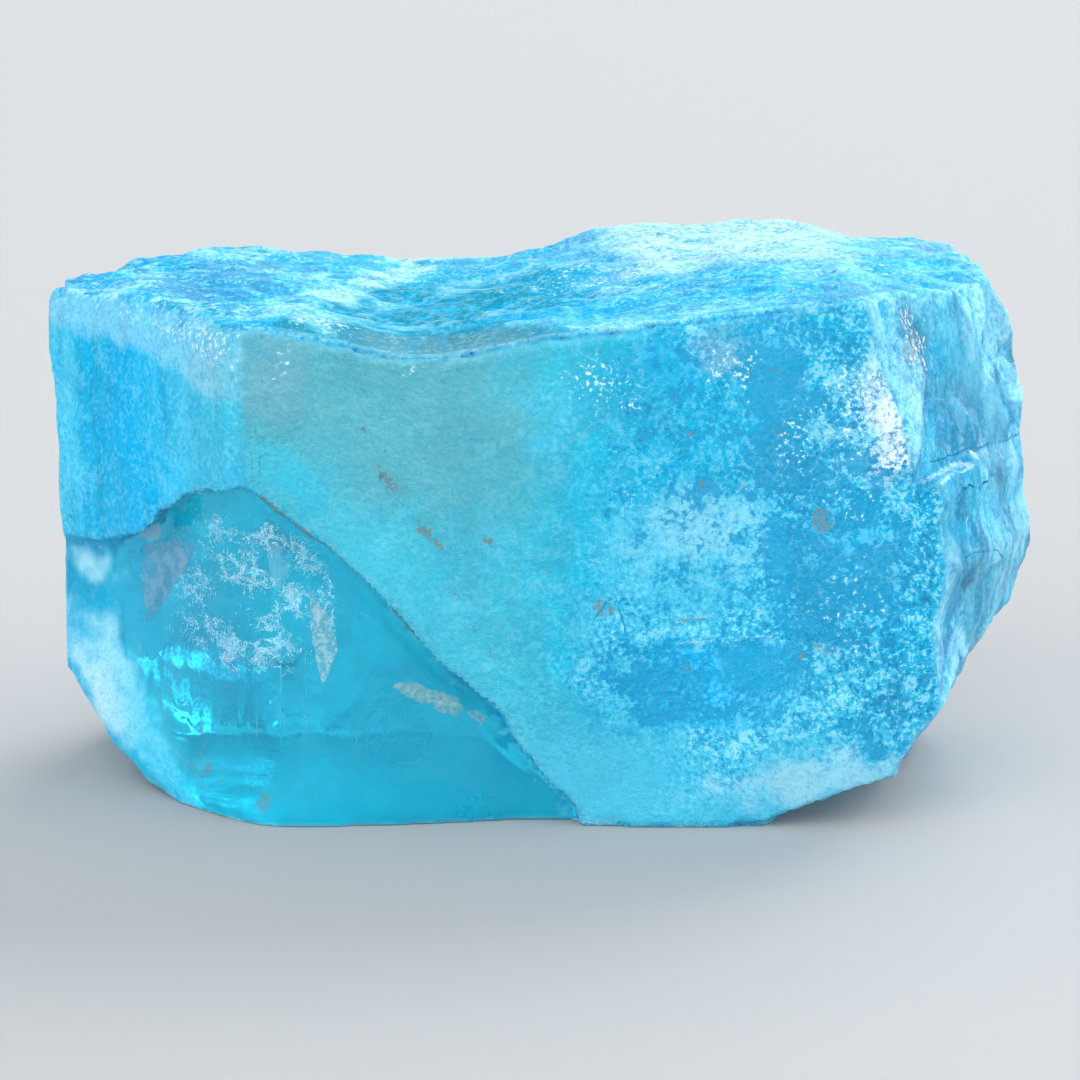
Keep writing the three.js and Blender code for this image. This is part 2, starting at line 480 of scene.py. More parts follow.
@dataclass(frozen=True)
class BerylFinish:
    """Blue beryl: clear inside, with frosted growth faces and breaks.

    The mesh stores the large pattern: "tone" is the colour; "body" how milky, how rough and how
    mottled it is; "marks" how much pale skin, iron stain and painted highlight there is, the last as
    white specks that stand in for sparkle; and "lines" the thin cracks and seams. Noise breaks these up
    into crisp grains.
    """

    depth_colour: Colour = (0.02, 0.895, 0.972)
    depth_per_m: float = 200.0
    ior: float = 1.577
    mottle_mm: float = 0.9
    grain_mm: float = 0.19
    pit_mm: float = 0.42
    pit_depth_mm: float = 0.13
    most_haze: float = 0.985
    clear_roughness: float = 0.02
    frost_roughness: float = 0.55
    frost_shine: float = 0.02
    thread_edge: Pair = (0.0016, 0.0002)
    thread_wobble: float = 0.12

    def material(self) -> bpy.types.Material:
        """Builds the material.

        Returns:
            The material, which reads "tone", "body", "marks" and "lines" from the mesh.
        """
        t = Tree("aquamarine")
        frost, rough, grit = t.split(t.stored("body"))
        cover, stain, highlight_paint = t.split(t.stored("marks"))
        mottle = t.noise(self.mottle_mm, 2.0, 0.68)
        grain = t.noise(self.grain_mm, 2.0, 0.72)
        skin = (mottle + 0.5 * (grain - 0.5) + 0.62 * (cover - 0.5)).ramp(0.42, 0.53)
        light = grit * (grain + 0.5 * (mottle - 0.5)).ramp(0.515, 0.62)
        dark = grit * (grain + 0.3 * (mottle - 0.5)).ramp(0.46, 0.37)
        hair = grit * ((mottle - 0.5) * (mottle - 0.5)).ramp(0.00028, 0.00004)
        # Painted highlight: white specks where the stored highlight paint is high, mixed in as frost white
        # below; they also raise the milky share so that they show.
        highlight_specks = (grain + 0.42 * (highlight_paint - 0.5)).ramp(0.55, 0.66)
        soil = (0.5 * (mottle + grain) + 0.6 * (stain - 0.5)).ramp(0.50, 0.58)
        soil_tone = t.mix(grain.ramp(0.4, 0.6), Hue.SLATE.rgba(), Hue.RUST.rgba())
        thread, thread_tone = self._lines(t, mottle)
        colour = t.stored("tone")
        for share, tone in (
            (0.85 * (1 - skin), Hue.DEEP.rgba()),
            (0.70 * dark, Hue.ABYSS.rgba()),
            (0.58 * light, Hue.ICE.rgba()),
            (0.70 * hair, Hue.ABYSS.rgba()),
            (0.80 * soil, soil_tone),
            (0.70 * highlight_specks, Hue.FROST.rgba()),
            (thread, thread_tone),
        ):
            colour = t.mix(share, colour, tone)
        relief = t.bump(rough * t.noise(self.pit_mm, 3.0, 0.74), self.pit_depth_mm)
        haze = frost * (0.66 + 0.34 * skin) + 0.12 * light + 0.5 * highlight_specks + 0.4 * soil + 0.6 * thread
        clear = t.node("BsdfPrincipled", {}, {
            "Base Color": t.mix(0.2, (1.0, 1.0, 1.0, 1.0), colour),
            "Roughness": self.clear_roughness + 0.38 * rough,
            "IOR": self.ior,
            "Transmission Weight": 1.0,
            "Normal": relief,
        })
        frosted = t.node("BsdfPrincipled", {}, {
            "Base Color": colour,
            "Roughness": self.frost_roughness,
            "IOR": self.ior,
            "Specular IOR Level": self.frost_shine,
            "Normal": relief,
        })
        surface = t.node("MixShader", {}, {0: haze.clamp(0.0, self.most_haze), 1: clear, 2: frosted})
        values = {"Color": (*self.depth_colour, 1.0), "Density": self.depth_per_m}
        return t.finish(surface, t.node("VolumeAbsorption", {}, values))

    def _lines(self, t: Tree, ragged: Wire) -> tuple[Wire, Wire]:
        """The thin cracks and seams.

        Args:
            t: The tree to build in.
            ragged: Noise that makes their sides uneven and breaks them up.

        Returns:
            How much of a line there is at a point, and the line's colour.
        """
        offset, strength, kind = t.split(t.stored("lines"))
        side = offset - 0.5 + self.thread_wobble * (ragged - 0.5)
        near = (side * side).ramp(*self.thread_edge)
        broken = 0.3 + 0.7 * ragged.ramp(0.38, 0.56)
        dark = t.mix(kind.ramp(0.2, 0.5), Hue.CRACK.rgba(), Hue.RUST.rgba())
        return near * strength * broken, t.mix(kind.ramp(0.6, 0.9), dark, Hue.FROST.rgba())


@dataclass(frozen=True)
class PaperFinish:
    """The studio's plain pale floor, with the faint tooth of matt card."""

    colour: Colour = (0.465, 0.475, 0.485)
    shade: float = 0.985
    tooth_mm: float = 0.8
    tooth_depth_mm: float = 0.01

    def material(self) -> bpy.types.Material:
        """Builds the material.

        Returns:
            The material.
        """
        t = Tree("studio_card")
        tooth = t.noise(self.tooth_mm, 2.0)
        # Painted shade: the card is a little darker where its tooth is low.
        low = (*(self.shade * c for c in self.colour), 1.0)
        return t.finish(t.node("BsdfPrincipled", {}, {
            "Base Color": t.mix(tooth, low, (*self.colour, 1.0)),
            "Roughness": 1.0,
            "Specular IOR Level": 0.1,
            "Normal": t.bump(tooth, self.tooth_depth_mm),
        }))


# ---------------------------------------------------------------- features of the skin


class Side(Enum):
    """The crystal's kinds of surface."""

    TOP = "top break"
    LOBE = "front prism face"
    BARED = "inner fracture"
    BLOCK = "left front block"
    RIGHT = "stepped right flank"
    REST = "back and left"


class Plane(Enum):
    """The drawing plane that a feature is laid out on, as the two axes that it uses."""

    FRONT = (0, 2)
    TOP = (0, 1)
    SIDE = (1, 2)


@dataclass(frozen=True)
class Patch:
    """A ragged patch of the skin, laid out in millimetres on a drawing plane.

    Attributes:
        at: Its middle.
        half: Its half sizes.
        turn_deg: How far it is turned.
        soft: How softly it ends, as a share of its half size.
        ragged: How far noise shifts its outline, as a share of its half size.
        boxy: 2 for an oval, and more for a shape nearer to a box.
    """

    at: Pair
    half: Pair
    turn_deg: float = 0.0
    soft: float = 0.3
    ragged: float = 0.25
    boxy: float = 2.0

    def share(self, u: Array, v: Array, warp: Array) -> Array:
        """How much each point belongs to the patch.

        Args:
            u: Places along the plane's first axis.
            v: Places along its second axis.
            warp: Noise that makes the outline ragged.

        Returns:
            Numbers from 0 to 1.
        """
        turn = math.radians(self.turn_deg)
        across, up = u - self.at[0], v - self.at[1]
        a = np.abs(across * math.cos(turn) + up * math.sin(turn)) / self.half[0]
        b = np.abs(up * math.cos(turn) - across * math.sin(turn)) / self.half[1]
        reach = (a**self.boxy + b**self.boxy) ** (1.0 / self.boxy) + self.ragged * warp
        return smoothstep(reach, 1.0 + self.soft, 1.0 - self.soft)


@dataclass(frozen=True)
class Tint:
    """A patch in another blue.

    Attributes:
        patch: Where it is.
        hue: Its blue.
        share: How strong that blue is.
        cover: How much pale skin it adds.
        frost: How much frost it adds.
        calm: How much of the mottling it takes away.
    """

    patch: Patch
    hue: Hue
    share: float
    cover: float = 0.0
    frost: float = 0.0
    calm: float = 0.0


@dataclass(frozen=True)
class Spot:
    """A small stained or sparkling spot: its middle, its half sizes, its strength and its turn."""

    at: Pair
    half: Pair
    share: float
    turn_deg: float = 0.0


class Trace(Enum):
    """What a thin line on the skin is filled with."""

    DARK = 0.0
    RUST = 0.55
    WHITE = 1.0


@dataclass(frozen=True)
class Seam:
    """A thin crack or seam along a run of points, in millimetres on a drawing plane.

    Attributes:
        trace: What fills it.
        strength: How strong it is.
        points: The points that it runs through.
        width: How wide it is, where 1 is a hair's width.
        fade: How far from its ends it starts to fade, in millimetres.
    """

    trace: Trace
    strength: float
    points: tuple[Pair, ...]
    width: float = 1.0
    fade: float = 0.25

    def measure(self, u: Array, v: Array) -> Iterator[tuple[Array, Array, Array]]:
        """Measures places against each straight part of the seam in turn.

        Args:
            u: Places along the plane's first axis.
            v: Places along its second axis.

        Yields:
            The distance to the part; the same, less than 0 on its one side; and a number that is 1
            along the seam and falls to 0 at its two ends.
        """
        points = np.array(self.points)
        lengths = np.hypot(*np.diff(points, axis=0).T)
        starts = np.concatenate([[0.0], np.cumsum(lengths)])
        for head, tail, length, start in zip(points, points[1:], lengths, starts):
            way = (tail - head) / length
            along = np.clip((u - head[0]) * way[0] + (v - head[1]) * way[1], 0.0, length)
            du, dv = u - head[0] - along * way[0], v - head[1] - along * way[1]
            far = np.hypot(du, dv)
            run = start + along
            ends = smoothstep(run, -0.01, self.fade) * smoothstep(starts[-1] - run, -0.01, self.fade)
            yield far, np.where(du * way[1] - dv * way[0] > 0.0, far, -far), ends


# What is laid out on each kind of surface: seams, patches of other blues, stains, and spots of painted
# highlight.
LOBE_SEAMS = (
    Seam(Trace.RUST, 0.7, (
        (-11.3, 17.9), (-11.4, 16.0), (-10.9, 13.4), (-9.3, 11.9),
        (-7.8, 10.7), (-6.1, 9.0), (-4.2, 6.6),
    )),
    Seam(Trace.RUST, 0.3, ((-7.9, 18.4), (-8.0, 17.2), (-7.8, 16.3), (-8.0, 15.0))),
    Seam(Trace.RUST, 0.35, ((-10.4, 14.6), (-9.6, 13.9), (-8.6, 13.2), (-7.4, 11.9))),
    Seam(Trace.DARK, 0.4, ((-10.2, 14.9), (-10.3, 14.0), (-10.1, 13.2))),
    Seam(Trace.RUST, 0.6, ((5.9, 19.1), (8.0, 19.3), (8.9, 19.5), (10.9, 19.7))),
    Seam(Trace.WHITE, 0.22, ((4.8, 7.25), (6.4, 7.35), (8.4, 7.6))),
    Seam(Trace.RUST, 0.7, ((7.6, 17.2), (8.4, 17.5), (9.1, 17.0))),
    Seam(Trace.DARK, 0.8, ((11.7, 13.7), (13.1, 13.7))),
    Seam(Trace.DARK, 0.7, ((1.8, 7.9), (2.6, 9.1), (3.1, 7.9), (3.2, 7.3))),
    Seam(Trace.DARK, 0.6, ((-6.2, 13.9), (-5.6, 12.9), (-4.8, 12.2))),
    Seam(Trace.RUST, 0.7, ((-6.1, 14.0), (-5.2, 13.3), (-4.6, 12.1))),
)
RIGHT_SEAMS = (
    Seam(Trace.DARK, 0.8, (
        (-9.3, 13.9), (-6.6, 13.9), (-5.0, 13.8),
        (-3.5, 13.75), (-1.0, 13.9),
    ), 1.5),
    Seam(Trace.DARK, 0.8, ((-8.9, 18.7), (-8.8, 17.6), (-9.2, 16.4)), 1.5),
    Seam(Trace.DARK, 0.8, ((-8.7, 17.5), (-7.6, 16.9), (-6.7, 16.8), (-6.9, 18.0)), 1.5),
    Seam(Trace.DARK, 0.95, ((-8.2, 12.8), (-6.6, 12.6), (-5.4, 12.5)), 1.5),
    Seam(Trace.WHITE, 0.5, ((-7.7, 11.7), (-7.8, 11.0), (-7.9, 10.3))),
    Seam(Trace.DARK, 0.7, ((-9.2, 10.2), (-7.5, 10.2), (-6.0, 9.9), (-4.5, 9.3)), 1.5),
    Seam(Trace.DARK, 0.6, ((-3.2, 19.2), (-3.5, 16.9), (-3.3, 15.2)), 1.5),
    Seam(Trace.DARK, 0.6, ((-5.6, 19.4), (-5.4, 17.8), (-5.9, 16.2)), 1.5),
    Seam(Trace.DARK, 0.6, ((1.5, 18.4), (1.2, 15.0), (1.8, 12.2), (1.4, 9.0)), 1.5),
    Seam(Trace.DARK, 0.6, ((5.2, 17.0), (5.5, 13.4), (5.0, 10.2)), 1.5),
    Seam(Trace.DARK, 0.6, ((-6.6, 13.4), (-6.2, 11.6), (-6.5, 9.0)), 1.3),
    Seam(Trace.DARK, 0.6, ((-3.9, 13.4), (-3.6, 10.4), (-4.2, 8.2), (-3.7, 6.0)), 1.3),
    Seam(Trace.DARK, 0.6, ((-1.2, 19.0), (-0.8, 17.0), (-1.3, 14.4)), 1.3),
    Seam(Trace.DARK, 0.6, ((-0.6, 13.0), (-0.3, 10.0), (-0.8, 7.4)), 1.3),
)
LOBE_TINTS = (
    Tint(Patch((5.0, 10.0), (3.3, 2.9), 3.0, 0.2, 0.35, 4.0), Hue.PALE, 0.6, cover=0.06),
    Tint(Patch((5.8, 11.5), (2.0, 1.2), 0.0, 0.6, 0.8), Hue.ICE, 0.5, cover=0.05),
    Tint(Patch((6.5, 5.6), (3.0, 1.7), 3.0, 0.20, 0.40, 3.0), Hue.DEEP, 0.95, cover=-0.3, calm=0.6),
    Tint(Patch((8.0, 6.3), (1.4, 0.9), 3.0, 0.12, 0.15, 6.0), Hue.DEEP, 0.7, cover=-0.25, calm=0.6),
    Tint(Patch((10.8, 10.6), (2.4, 3.2), 0.0, 0.3, 0.4, 3.0), Hue.DEEP, 0.5, cover=-0.3, calm=0.6),
    Tint(Patch((8.6, 16.2), (1.0, 2.8), 0.0, 0.4, 0.4, 3.0), Hue.DEEP, 0.8, cover=-0.25, calm=0.6),
    Tint(Patch((4.6, 17.6), (1.2, 0.9), 0.0, 0.4, 0.4), Hue.DEEP, 0.5, cover=-0.2, calm=0.6),
    Tint(Patch((11.0, 4.2), (3.0, 2.6), 20.0, 0.4, 0.4), Hue.PALE, 0.4, cover=-0.05),
    Tint(Patch((2.4, 6.5), (1.3, 1.6), 0.0, 0.4, 0.3), Hue.PALE, 0.3, cover=-0.15),
    Tint(Patch((-9.3, 13.6), (1.8, 0.7), -42.0, 0.6, 0.6), Hue.LAGOON, 0.4),
    Tint(Patch((-9.9, 17.2), (1.6, 1.3), 0.0, 0.8, 0.6), Hue.ROSE, 0.18),
    Tint(Patch((4.0, 1.6), (7.5, 2.3), 0.0, 0.4, 0.25, 4.0), Hue.PALE, 0.75, cover=0.4),
    Tint(Patch((10.4, 1.9), (3.0, 0.8), 9.0, 0.6, 0.8), Hue.ICE, 0.8, cover=0.3),
    Tint(Patch((11.7, 15.4), (1.5, 1.9), 0.0, 0.6, 0.7), Hue.ICE, 0.45, cover=-0.05),
    Tint(Patch((12.8, 15.4), (0.8, 1.8), 0.0, 0.9, 1.0), Hue.FROST, 0.85, cover=0.1),
    Tint(Patch((6.8, 18.0), (1.5, 0.8), -10.0, 0.5, 0.3), Hue.ROSE, 0.35),
)
LOBE_STAINS = (
    Spot((-6.5, 15.3), (0.16, 0.1), 1.0, -50.0), Spot((-5.6, 13.3), (0.3, 1.05), 0.7, 35.0),
    Spot((-4.1, 11.2), (0.28, 0.95), 0.66, 45.0), Spot((-8.5, 14.7), (0.45, 0.18), 0.5, 10.0),
    Spot((-1.9, 11.0), (0.5, 0.16), 0.65, -40.0), Spot((0.3, 10.0), (0.75, 0.2), 0.6, -25.0),
    Spot((-3.1, 9.0), (0.6, 0.16), 0.62, -35.0), Spot((2.3, 8.6), (0.55, 0.5), 0.6),
    Spot((-2.1, 7.9), (0.9, 0.15), 0.55, -5.0), Spot((-1.9, 6.8), (0.15, 0.6), 0.55, 20.0),
    Spot((1.6, 12.0), (0.65, 0.14), 0.55, 18.0), Spot((5.9, 13.2), (0.22, 0.28), 0.85),
    Spot((7.2, 13.2), (0.6, 0.12), 0.6, -10.0), Spot((8.3, 17.5), (0.8, 0.14), 0.6, 10.0),
    Spot((5.4, 15.1), (0.14, 0.1), 0.95), Spot((6.0, 15.8), (0.12, 0.09), 0.95),
    Spot((8.7, 15.2), (0.5, 0.35), 0.55), Spot((5.6, 8.1), (0.85, 0.13), 0.6, 5.0),
    Spot((9.6, 6.7), (0.16, 0.16), 1.0), Spot((10.2, 11.9), (0.55, 0.7), 0.52, 30.0),
    Spot((-5.7, 14.5), (0.09, 0.09), 0.9), Spot((-4.1, 13.0), (0.1, 0.08), 0.9),
    Spot((-2.6, 12.1), (0.09, 0.09), 0.9), Spot((-6.4, 11.1), (0.09, 0.09), 0.8),
    Spot((5.4, 6.2), (0.3, 0.16), 0.7), Spot((10.4, 7.0), (0.6, 0.1), 0.65, -12.0),
)
# Spots of painted highlight on the front face: white glints.
LOBE_PAINTED_HIGHLIGHTS = (
    Spot((2.3, 17.0), (1.9, 1.1), 0.5), Spot((3.2, 16.2), (0.6, 0.35), 0.7),
    Spot((6.9, 17.3), (1.2, 1.0), 0.5), Spot((11.6, 16.0), (1.6, 1.8), 0.5),
    Spot((12.9, 15.9), (0.8, 1.1), 0.78), Spot((13.0, 14.1), (0.8, 0.4), 0.78),
    Spot((9.3, 14.6), (0.8, 1.6), 0.48), Spot((11.4, 12.6), (1.4, 0.8), 0.42),
    Spot((11.2, 8.4), (1.6, 2.0), 0.4), Spot((-9.6, 17.6), (0.6, 0.9), 0.45),
    Spot((-4.6, 17.5), (0.5, 0.3), 0.5),
)
# Partly real frost and partly painted glow: the icy and white patches at the lower left stand for light
# that comes through the crystal there.
BARED_PATCHES_AND_GLOW = (
    Tint(Patch((-17.2, 4.2), (1.3, 2.4), 28.0, 0.7, 0.9), Hue.ICE, 0.75, frost=0.15),
    Tint(Patch((-17.0, 3.0), (0.7, 1.4), 28.0, 0.8, 0.9), Hue.FROST, 0.35, frost=0.05),
    Tint(Patch((-17.9, 8.6), (0.9, 0.5), 0.0, 0.7, 0.9), Hue.ICE, 0.9, frost=0.35),
    Tint(Patch((-15.0, 2.0), (1.0, 2.2), 35.0, 0.7, 0.6), Hue.PALE, 0.7, frost=0.1),
)
BARED_STAINS = (
    Spot((-12.7, 1.6), (1.3, 1.5), 0.5, 30.0), Spot((-10.6, 0.8), (0.5, 0.5), 0.52),
    Spot((-13.8, 10.5), (2.2, 0.7), 0.44, 22.0),
)
BLOCK_TINTS = (
    Tint(Patch((-12.5, 13.5), (1.9, 4.5), 0.0, 0.4, 0.6, 3.0), Hue.PALE, 0.45, cover=0.1),
    Tint(Patch((-15.9, 13.4), (1.1, 3.4), 4.0, 0.6, 0.6, 2.0), Hue.DEEP, 0.9),
    Tint(Patch((-18.9, 13.5), (0.8, 4.5), 0.0, 0.4, 0.6, 3.0), Hue.PALE, 0.75),
)
TOP_PATCHES_AND_RIM_SHADE = (
    Tint(Patch((-12.9, 0.5), (2.8, 3.6), 0.0, 0.4, 0.6), Hue.ABYSS, 0.5, cover=-0.1),
    # Painted shade: the dark slate band along the front rim stands for the shadow of the thin under-ledge
    # below the rim; it also adds some pale skin and frost.
    Tint(Patch((-3.4, -9.7), (3.4, 0.8), 0.0, 0.4, 0.3, 4.0), Hue.SLATE, 0.9, cover=0.2, frost=0.1),
    Tint(Patch((7.5, -7.0), (7.5, 2.2), 2.0, 0.5, 0.5, 3.0), Hue.DEEP, 0.65, cover=-0.05),
    Tint(Patch((15.0, -1.0), (1.6, 4.4), 0.0, 0.5, 0.6), Hue.SKY, 0.75),
    Tint(Patch((-16.6, -1.6), (1.9, 1.6), 0.0, 0.4, 0.4), Hue.ICE, 0.5, cover=0.1, frost=0.1),
)
# Spots of painted highlight on the top: white glints.
TOP_PAINTED_HIGHLIGHTS = (
    Spot((-14.4, -5.6), (1.4, 1.0), 0.55), Spot((-8.2, -8.7), (1.6, 0.9), 0.55),
    Spot((-12.0, -5.0), (2.0, 1.0), 0.5), Spot((2.0, 0.0), (5.0, 3.0), 0.4),
    Spot((13.5, -2.0), (2.0, 1.2), 0.5),
)


# ---------------------------------------------------------------- the crystal's body


@dataclass
class CrystalBody:
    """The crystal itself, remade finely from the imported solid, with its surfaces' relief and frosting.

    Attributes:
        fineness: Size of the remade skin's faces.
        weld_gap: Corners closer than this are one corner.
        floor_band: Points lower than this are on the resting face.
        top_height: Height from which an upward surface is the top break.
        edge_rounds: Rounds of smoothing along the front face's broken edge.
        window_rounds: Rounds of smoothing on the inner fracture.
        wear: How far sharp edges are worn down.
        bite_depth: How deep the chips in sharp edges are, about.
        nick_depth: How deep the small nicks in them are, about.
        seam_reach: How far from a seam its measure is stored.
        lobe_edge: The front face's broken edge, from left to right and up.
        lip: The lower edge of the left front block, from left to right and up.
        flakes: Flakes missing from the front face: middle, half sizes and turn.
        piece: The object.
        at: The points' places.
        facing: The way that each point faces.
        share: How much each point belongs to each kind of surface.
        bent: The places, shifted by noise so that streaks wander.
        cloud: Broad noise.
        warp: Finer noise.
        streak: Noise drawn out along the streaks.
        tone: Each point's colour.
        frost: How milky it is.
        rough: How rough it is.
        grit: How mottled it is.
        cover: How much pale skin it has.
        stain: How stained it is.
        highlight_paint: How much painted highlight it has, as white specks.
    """

    fineness: float = 0.2
    weld_gap: float = 0.0005
    floor_band: float = 0.05
    top_height: float = 17.2
    edge_rounds: int = 4
    window_rounds: int = 14
    wear: float = 0.04
    bite_depth: float = 0.30
    nick_depth: float = 0.06
    seam_reach: float = 0.9
    lobe_edge: tuple[Pair, ...] = (
        (1.2, 0.4), (-0.27, 2.0), (-1.17, 3.3), (-2.07, 4.7), (-4.1, 6.4), (-6.1, 8.8),
        (-7.8, 10.5), (-9.3, 11.7), (-10.9, 13.2),
    )
    lip: tuple[Pair, ...] = (
        (-12.2, 12.7), (-13.5, 12.2), (-14.4, 11.5), (-15.2, 10.5), (-17.1, 9.7), (-21.0, 9.4),
    )
    flakes: tuple[tuple[Pair, Pair, float], ...] = (
        ((-5.6, 13.2), (0.34, 1.15), 35.0), ((-4.1, 11.2), (0.30, 1.0), 45.0),
        ((-1.9, 11.0), (0.6, 0.16), -40.0), ((0.4, 9.9), (0.8, 0.28), -25.0),
        ((-3.1, 9.0), (0.65, 0.18), -35.0), ((2.4, 8.5), (0.8, 0.75), 0.0),
        ((-2.0, 7.0), (0.8, 0.8), 10.0), ((5.9, 13.2), (0.25, 0.3), 0.0),
        ((7.0, 13.3), (0.7, 0.22), -10.0), ((8.4, 17.3), (0.9, 0.3), 10.0),
        ((5.6, 8.0), (0.9, 0.2), 5.0), ((10.3, 11.8), (0.6, 0.8), 30.0),
    )
    piece: bpy.types.Object = field(init=False)
    at: Array = field(init=False)
    facing: Array = field(init=False)
    share: dict[Side, Array] = field(init=False)
    bent: Array = field(init=False)
    cloud: Array = field(init=False)
    warp: Array = field(init=False)
    streak: Array = field(init=False)
    tone: Array = field(init=False)
    frost: Array = field(init=False)
    rough: Array = field(init=False)
    grit: Array = field(init=False)
    cover: Array = field(init=False)
    stain: Array = field(init=False)
    highlight_paint: Array = field(init=False)

    def build(self) -> None:
        """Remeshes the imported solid, tells its surfaces apart, and gives each its relief and marks."""
        mesh = frame["nodes"][NODE].data.copy()
        self.piece = bpy.data.objects.new("crystal_body", mesh)
        bpy.context.scene.collection.objects.link(self.piece)
        self._weld()
        self._remesh()
        self._read()
        self._round_steps()
        self._sort_sides()
        self._polish_window()
        self._carve()
        self._store_finish()
        for polygon in self.piece.data.polygons:
            polygon.use_smooth = True
        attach(self.piece, BODY)
        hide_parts(NODE)
        LOG.info("crystal_body: %d triangles", 2 * len(self.piece.data.polygons))

    def dress(self, finish: BerylFinish) -> None:
        """Gives the body its beryl."""
        self.piece.data.materials.clear()
        self.piece.data.materials.append(finish.material())

    def _weld(self) -> None:
        """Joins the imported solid's split corners, so that it is one closed skin."""
        work = bmesh.new()
        work.from_mesh(self.piece.data)
        bmesh.ops.remove_doubles(work, verts=work.verts, dist=self.weld_gap * MM)
        work.to_mesh(self.piece.data)
        work.free()

    def _remesh(self) -> None:
        """Remakes the skin with even small faces."""
        remesh = self.piece.modifiers.new("even", "REMESH")
        remesh.mode = "VOXEL"
        remesh.voxel_size = self.fineness * MM
        graph = bpy.context.evaluated_depsgraph_get()
        made = bpy.data.meshes.new_from_object(self.piece.evaluated_get(graph))
        self.piece.modifiers.clear()
        self.piece.data = made

    def _read(self) -> None:
        """Reads the points' places and the way they face, in millimetres."""
        mesh = self.piece.data
        count = len(mesh.vertices)
        flat = np.zeros(3 * count, np.float32)
        mesh.vertices.foreach_get("co", flat)
        self.at = flat.reshape(-1, 3).astype(float) / MM
        mesh.vertex_normals.foreach_get("vector", flat)
        self.facing = flat.reshape(-1, 3).astype(float)

    def _write(self) -> None:
        """Puts the points back and reads the way they now face."""
        mesh = self.piece.data
        mesh.vertices.foreach_set("co", (self.at * MM).astype(np.float32).ravel())
        mesh.update()
        self._read()

    def _edges(self) -> Array:
        """The mesh's edges.

        Returns:
            Pairs of point numbers.
        """
        mesh = self.piece.data
        pairs = np.zeros(2 * len(mesh.edges), np.int32)
        mesh.edges.foreach_get("vertices", pairs)
        return pairs.reshape(-1, 2)

    def _spread(self, values: Array, rounds: int) -> Array:
        """Averages each point's value with its neighbours'.

        Args:
            values: One number, or one row of numbers, for each point.
            rounds: How many times to average.

        Returns:
            One row of numbers for each point.
        """
        pairs = self._edges()
        count = np.bincount(pairs.ravel(), minlength=len(values))[:, None]
        values = values.reshape(len(values), -1).astype(float)
        for _ in range(rounds):
            total = np.zeros_like(values)
            for column in range(values.shape[1]):
                gathered = np.bincount(pairs[:, 0], values[pairs[:, 1], column], len(values))
                gathered += np.bincount(pairs[:, 1], values[pairs[:, 0], column], len(values))
                total[:, column] = gathered
            values = 0.5 * values + 0.5 * total / count
        return values

    def _round_steps(self) -> None:
        """Rounds off the remesh's steps. The resting face stays flat."""
        floor = self.at[:, 2] < self.floor_band
        self.at = self._spread(self.at, 1)
        self.at[floor, 2] = 0.0
        self._write()

    def _polish_window(self) -> None:
        """Smooths the inner fracture, through which the inside is seen, and the broken edge beside it."""
        edge = smoothstep(np.abs(self._from_edge()), 1.0, 0.6) * (self.facing[:, 1] < 0.4)
        edge *= smoothstep(self.at[:, 1], -4.0, -5.0) * smoothstep(self.at[:, 2], 0.1, 0.4)
        self.at += (self._spread(self.at, self.edge_rounds) - self.at) * edge[:, None]
        inner = smoothstep(self._spread(self.share[Side.BARED], 6)[:, 0], 0.6, 0.95)
        self.at += (self._spread(self.at, self.window_rounds) - self.at) * inner[:, None]
        self._write()

    def _sort_sides(self) -> None:
        """Works out how much each point belongs to each kind of surface."""
        x, _, z = self.at.T
        nx, ny, nz = self._spread(self.facing, 4).T
        past = self._from_edge()
        lip_z = np.interp(-x, *np.array([(-e, h) for e, h in self.lip]).T)
        top = smoothstep(nz, 0.45, 0.75) * smoothstep(z, self.top_height - 0.8, self.top_height)
        right = smoothstep(nx, 0.5, 0.75) * (1.0 - top)
        right += smoothstep(x, 14.0, 15.5) * smoothstep(nx, 0.2, 0.5)
        right = np.clip(right, 0.0, 1.0) * (1.0 - top)
        ahead = smoothstep(-ny, 0.1, 0.4) * (1.0 - top) * (1.0 - right)
        lobe = ahead * smoothstep(past, -0.15, 0.15) * smoothstep(-ny, 0.75, 0.92)
        below = smoothstep(lip_z - z, -0.1, 0.25) * smoothstep(-past, -0.1, 0.2)
        bared = ahead * below * (1.0 - lobe)
        block = ahead * (1.0 - below) * (1.0 - lobe) * smoothstep(x, -9.5, -10.8)
        rest = np.clip(1.0 - top - right - lobe - bared - block, 0.0, 1.0)
        self.share = {
            Side.TOP: top, Side.LOBE: lobe, Side.BARED: bared,
            Side.BLOCK: block, Side.RIGHT: right, Side.REST: rest,
        }

    def _carve(self) -> None:
        """Gives each kind of surface its relief, and chips the edges."""
        p = self.at
        move = np.zeros(len(p))
        for side, relief in self._reliefs().items():
            share = self.share[side]
            on = share > 0.001
            move[on] += share[on] * relief(p[on])
        sharp = self._sharpness()
        lean, _, pick = Grain(Seed.EDGE_BITES).facets(p, 1.3)
        nick, _, _ = Grain(Seed.EDGE_NICKS).facets(p, 0.5)
        bite = np.where(pick > 0.45, pick - 0.45 + 0.3 * lean, 0.0)
        move -= sharp * (self.wear + self.bite_depth * bite + self.nick_depth * nick)
        keep = smoothstep(p[:, 2], 0.02, 0.5)
        self.at = p + self.facing * (move * keep)[:, None]
        self.at[:, 2] = np.maximum(self.at[:, 2], 0.0)
        self._write()

    def _sharpness(self) -> Array:
        """How sharply the skin turns outwards: 0 on flats and in hollows, up to 1 on edges."""
        middle = self._spread(self.at, 6)
        return smoothstep(((self.at - middle) * self.facing).sum(axis=1), 0.03, 0.12)

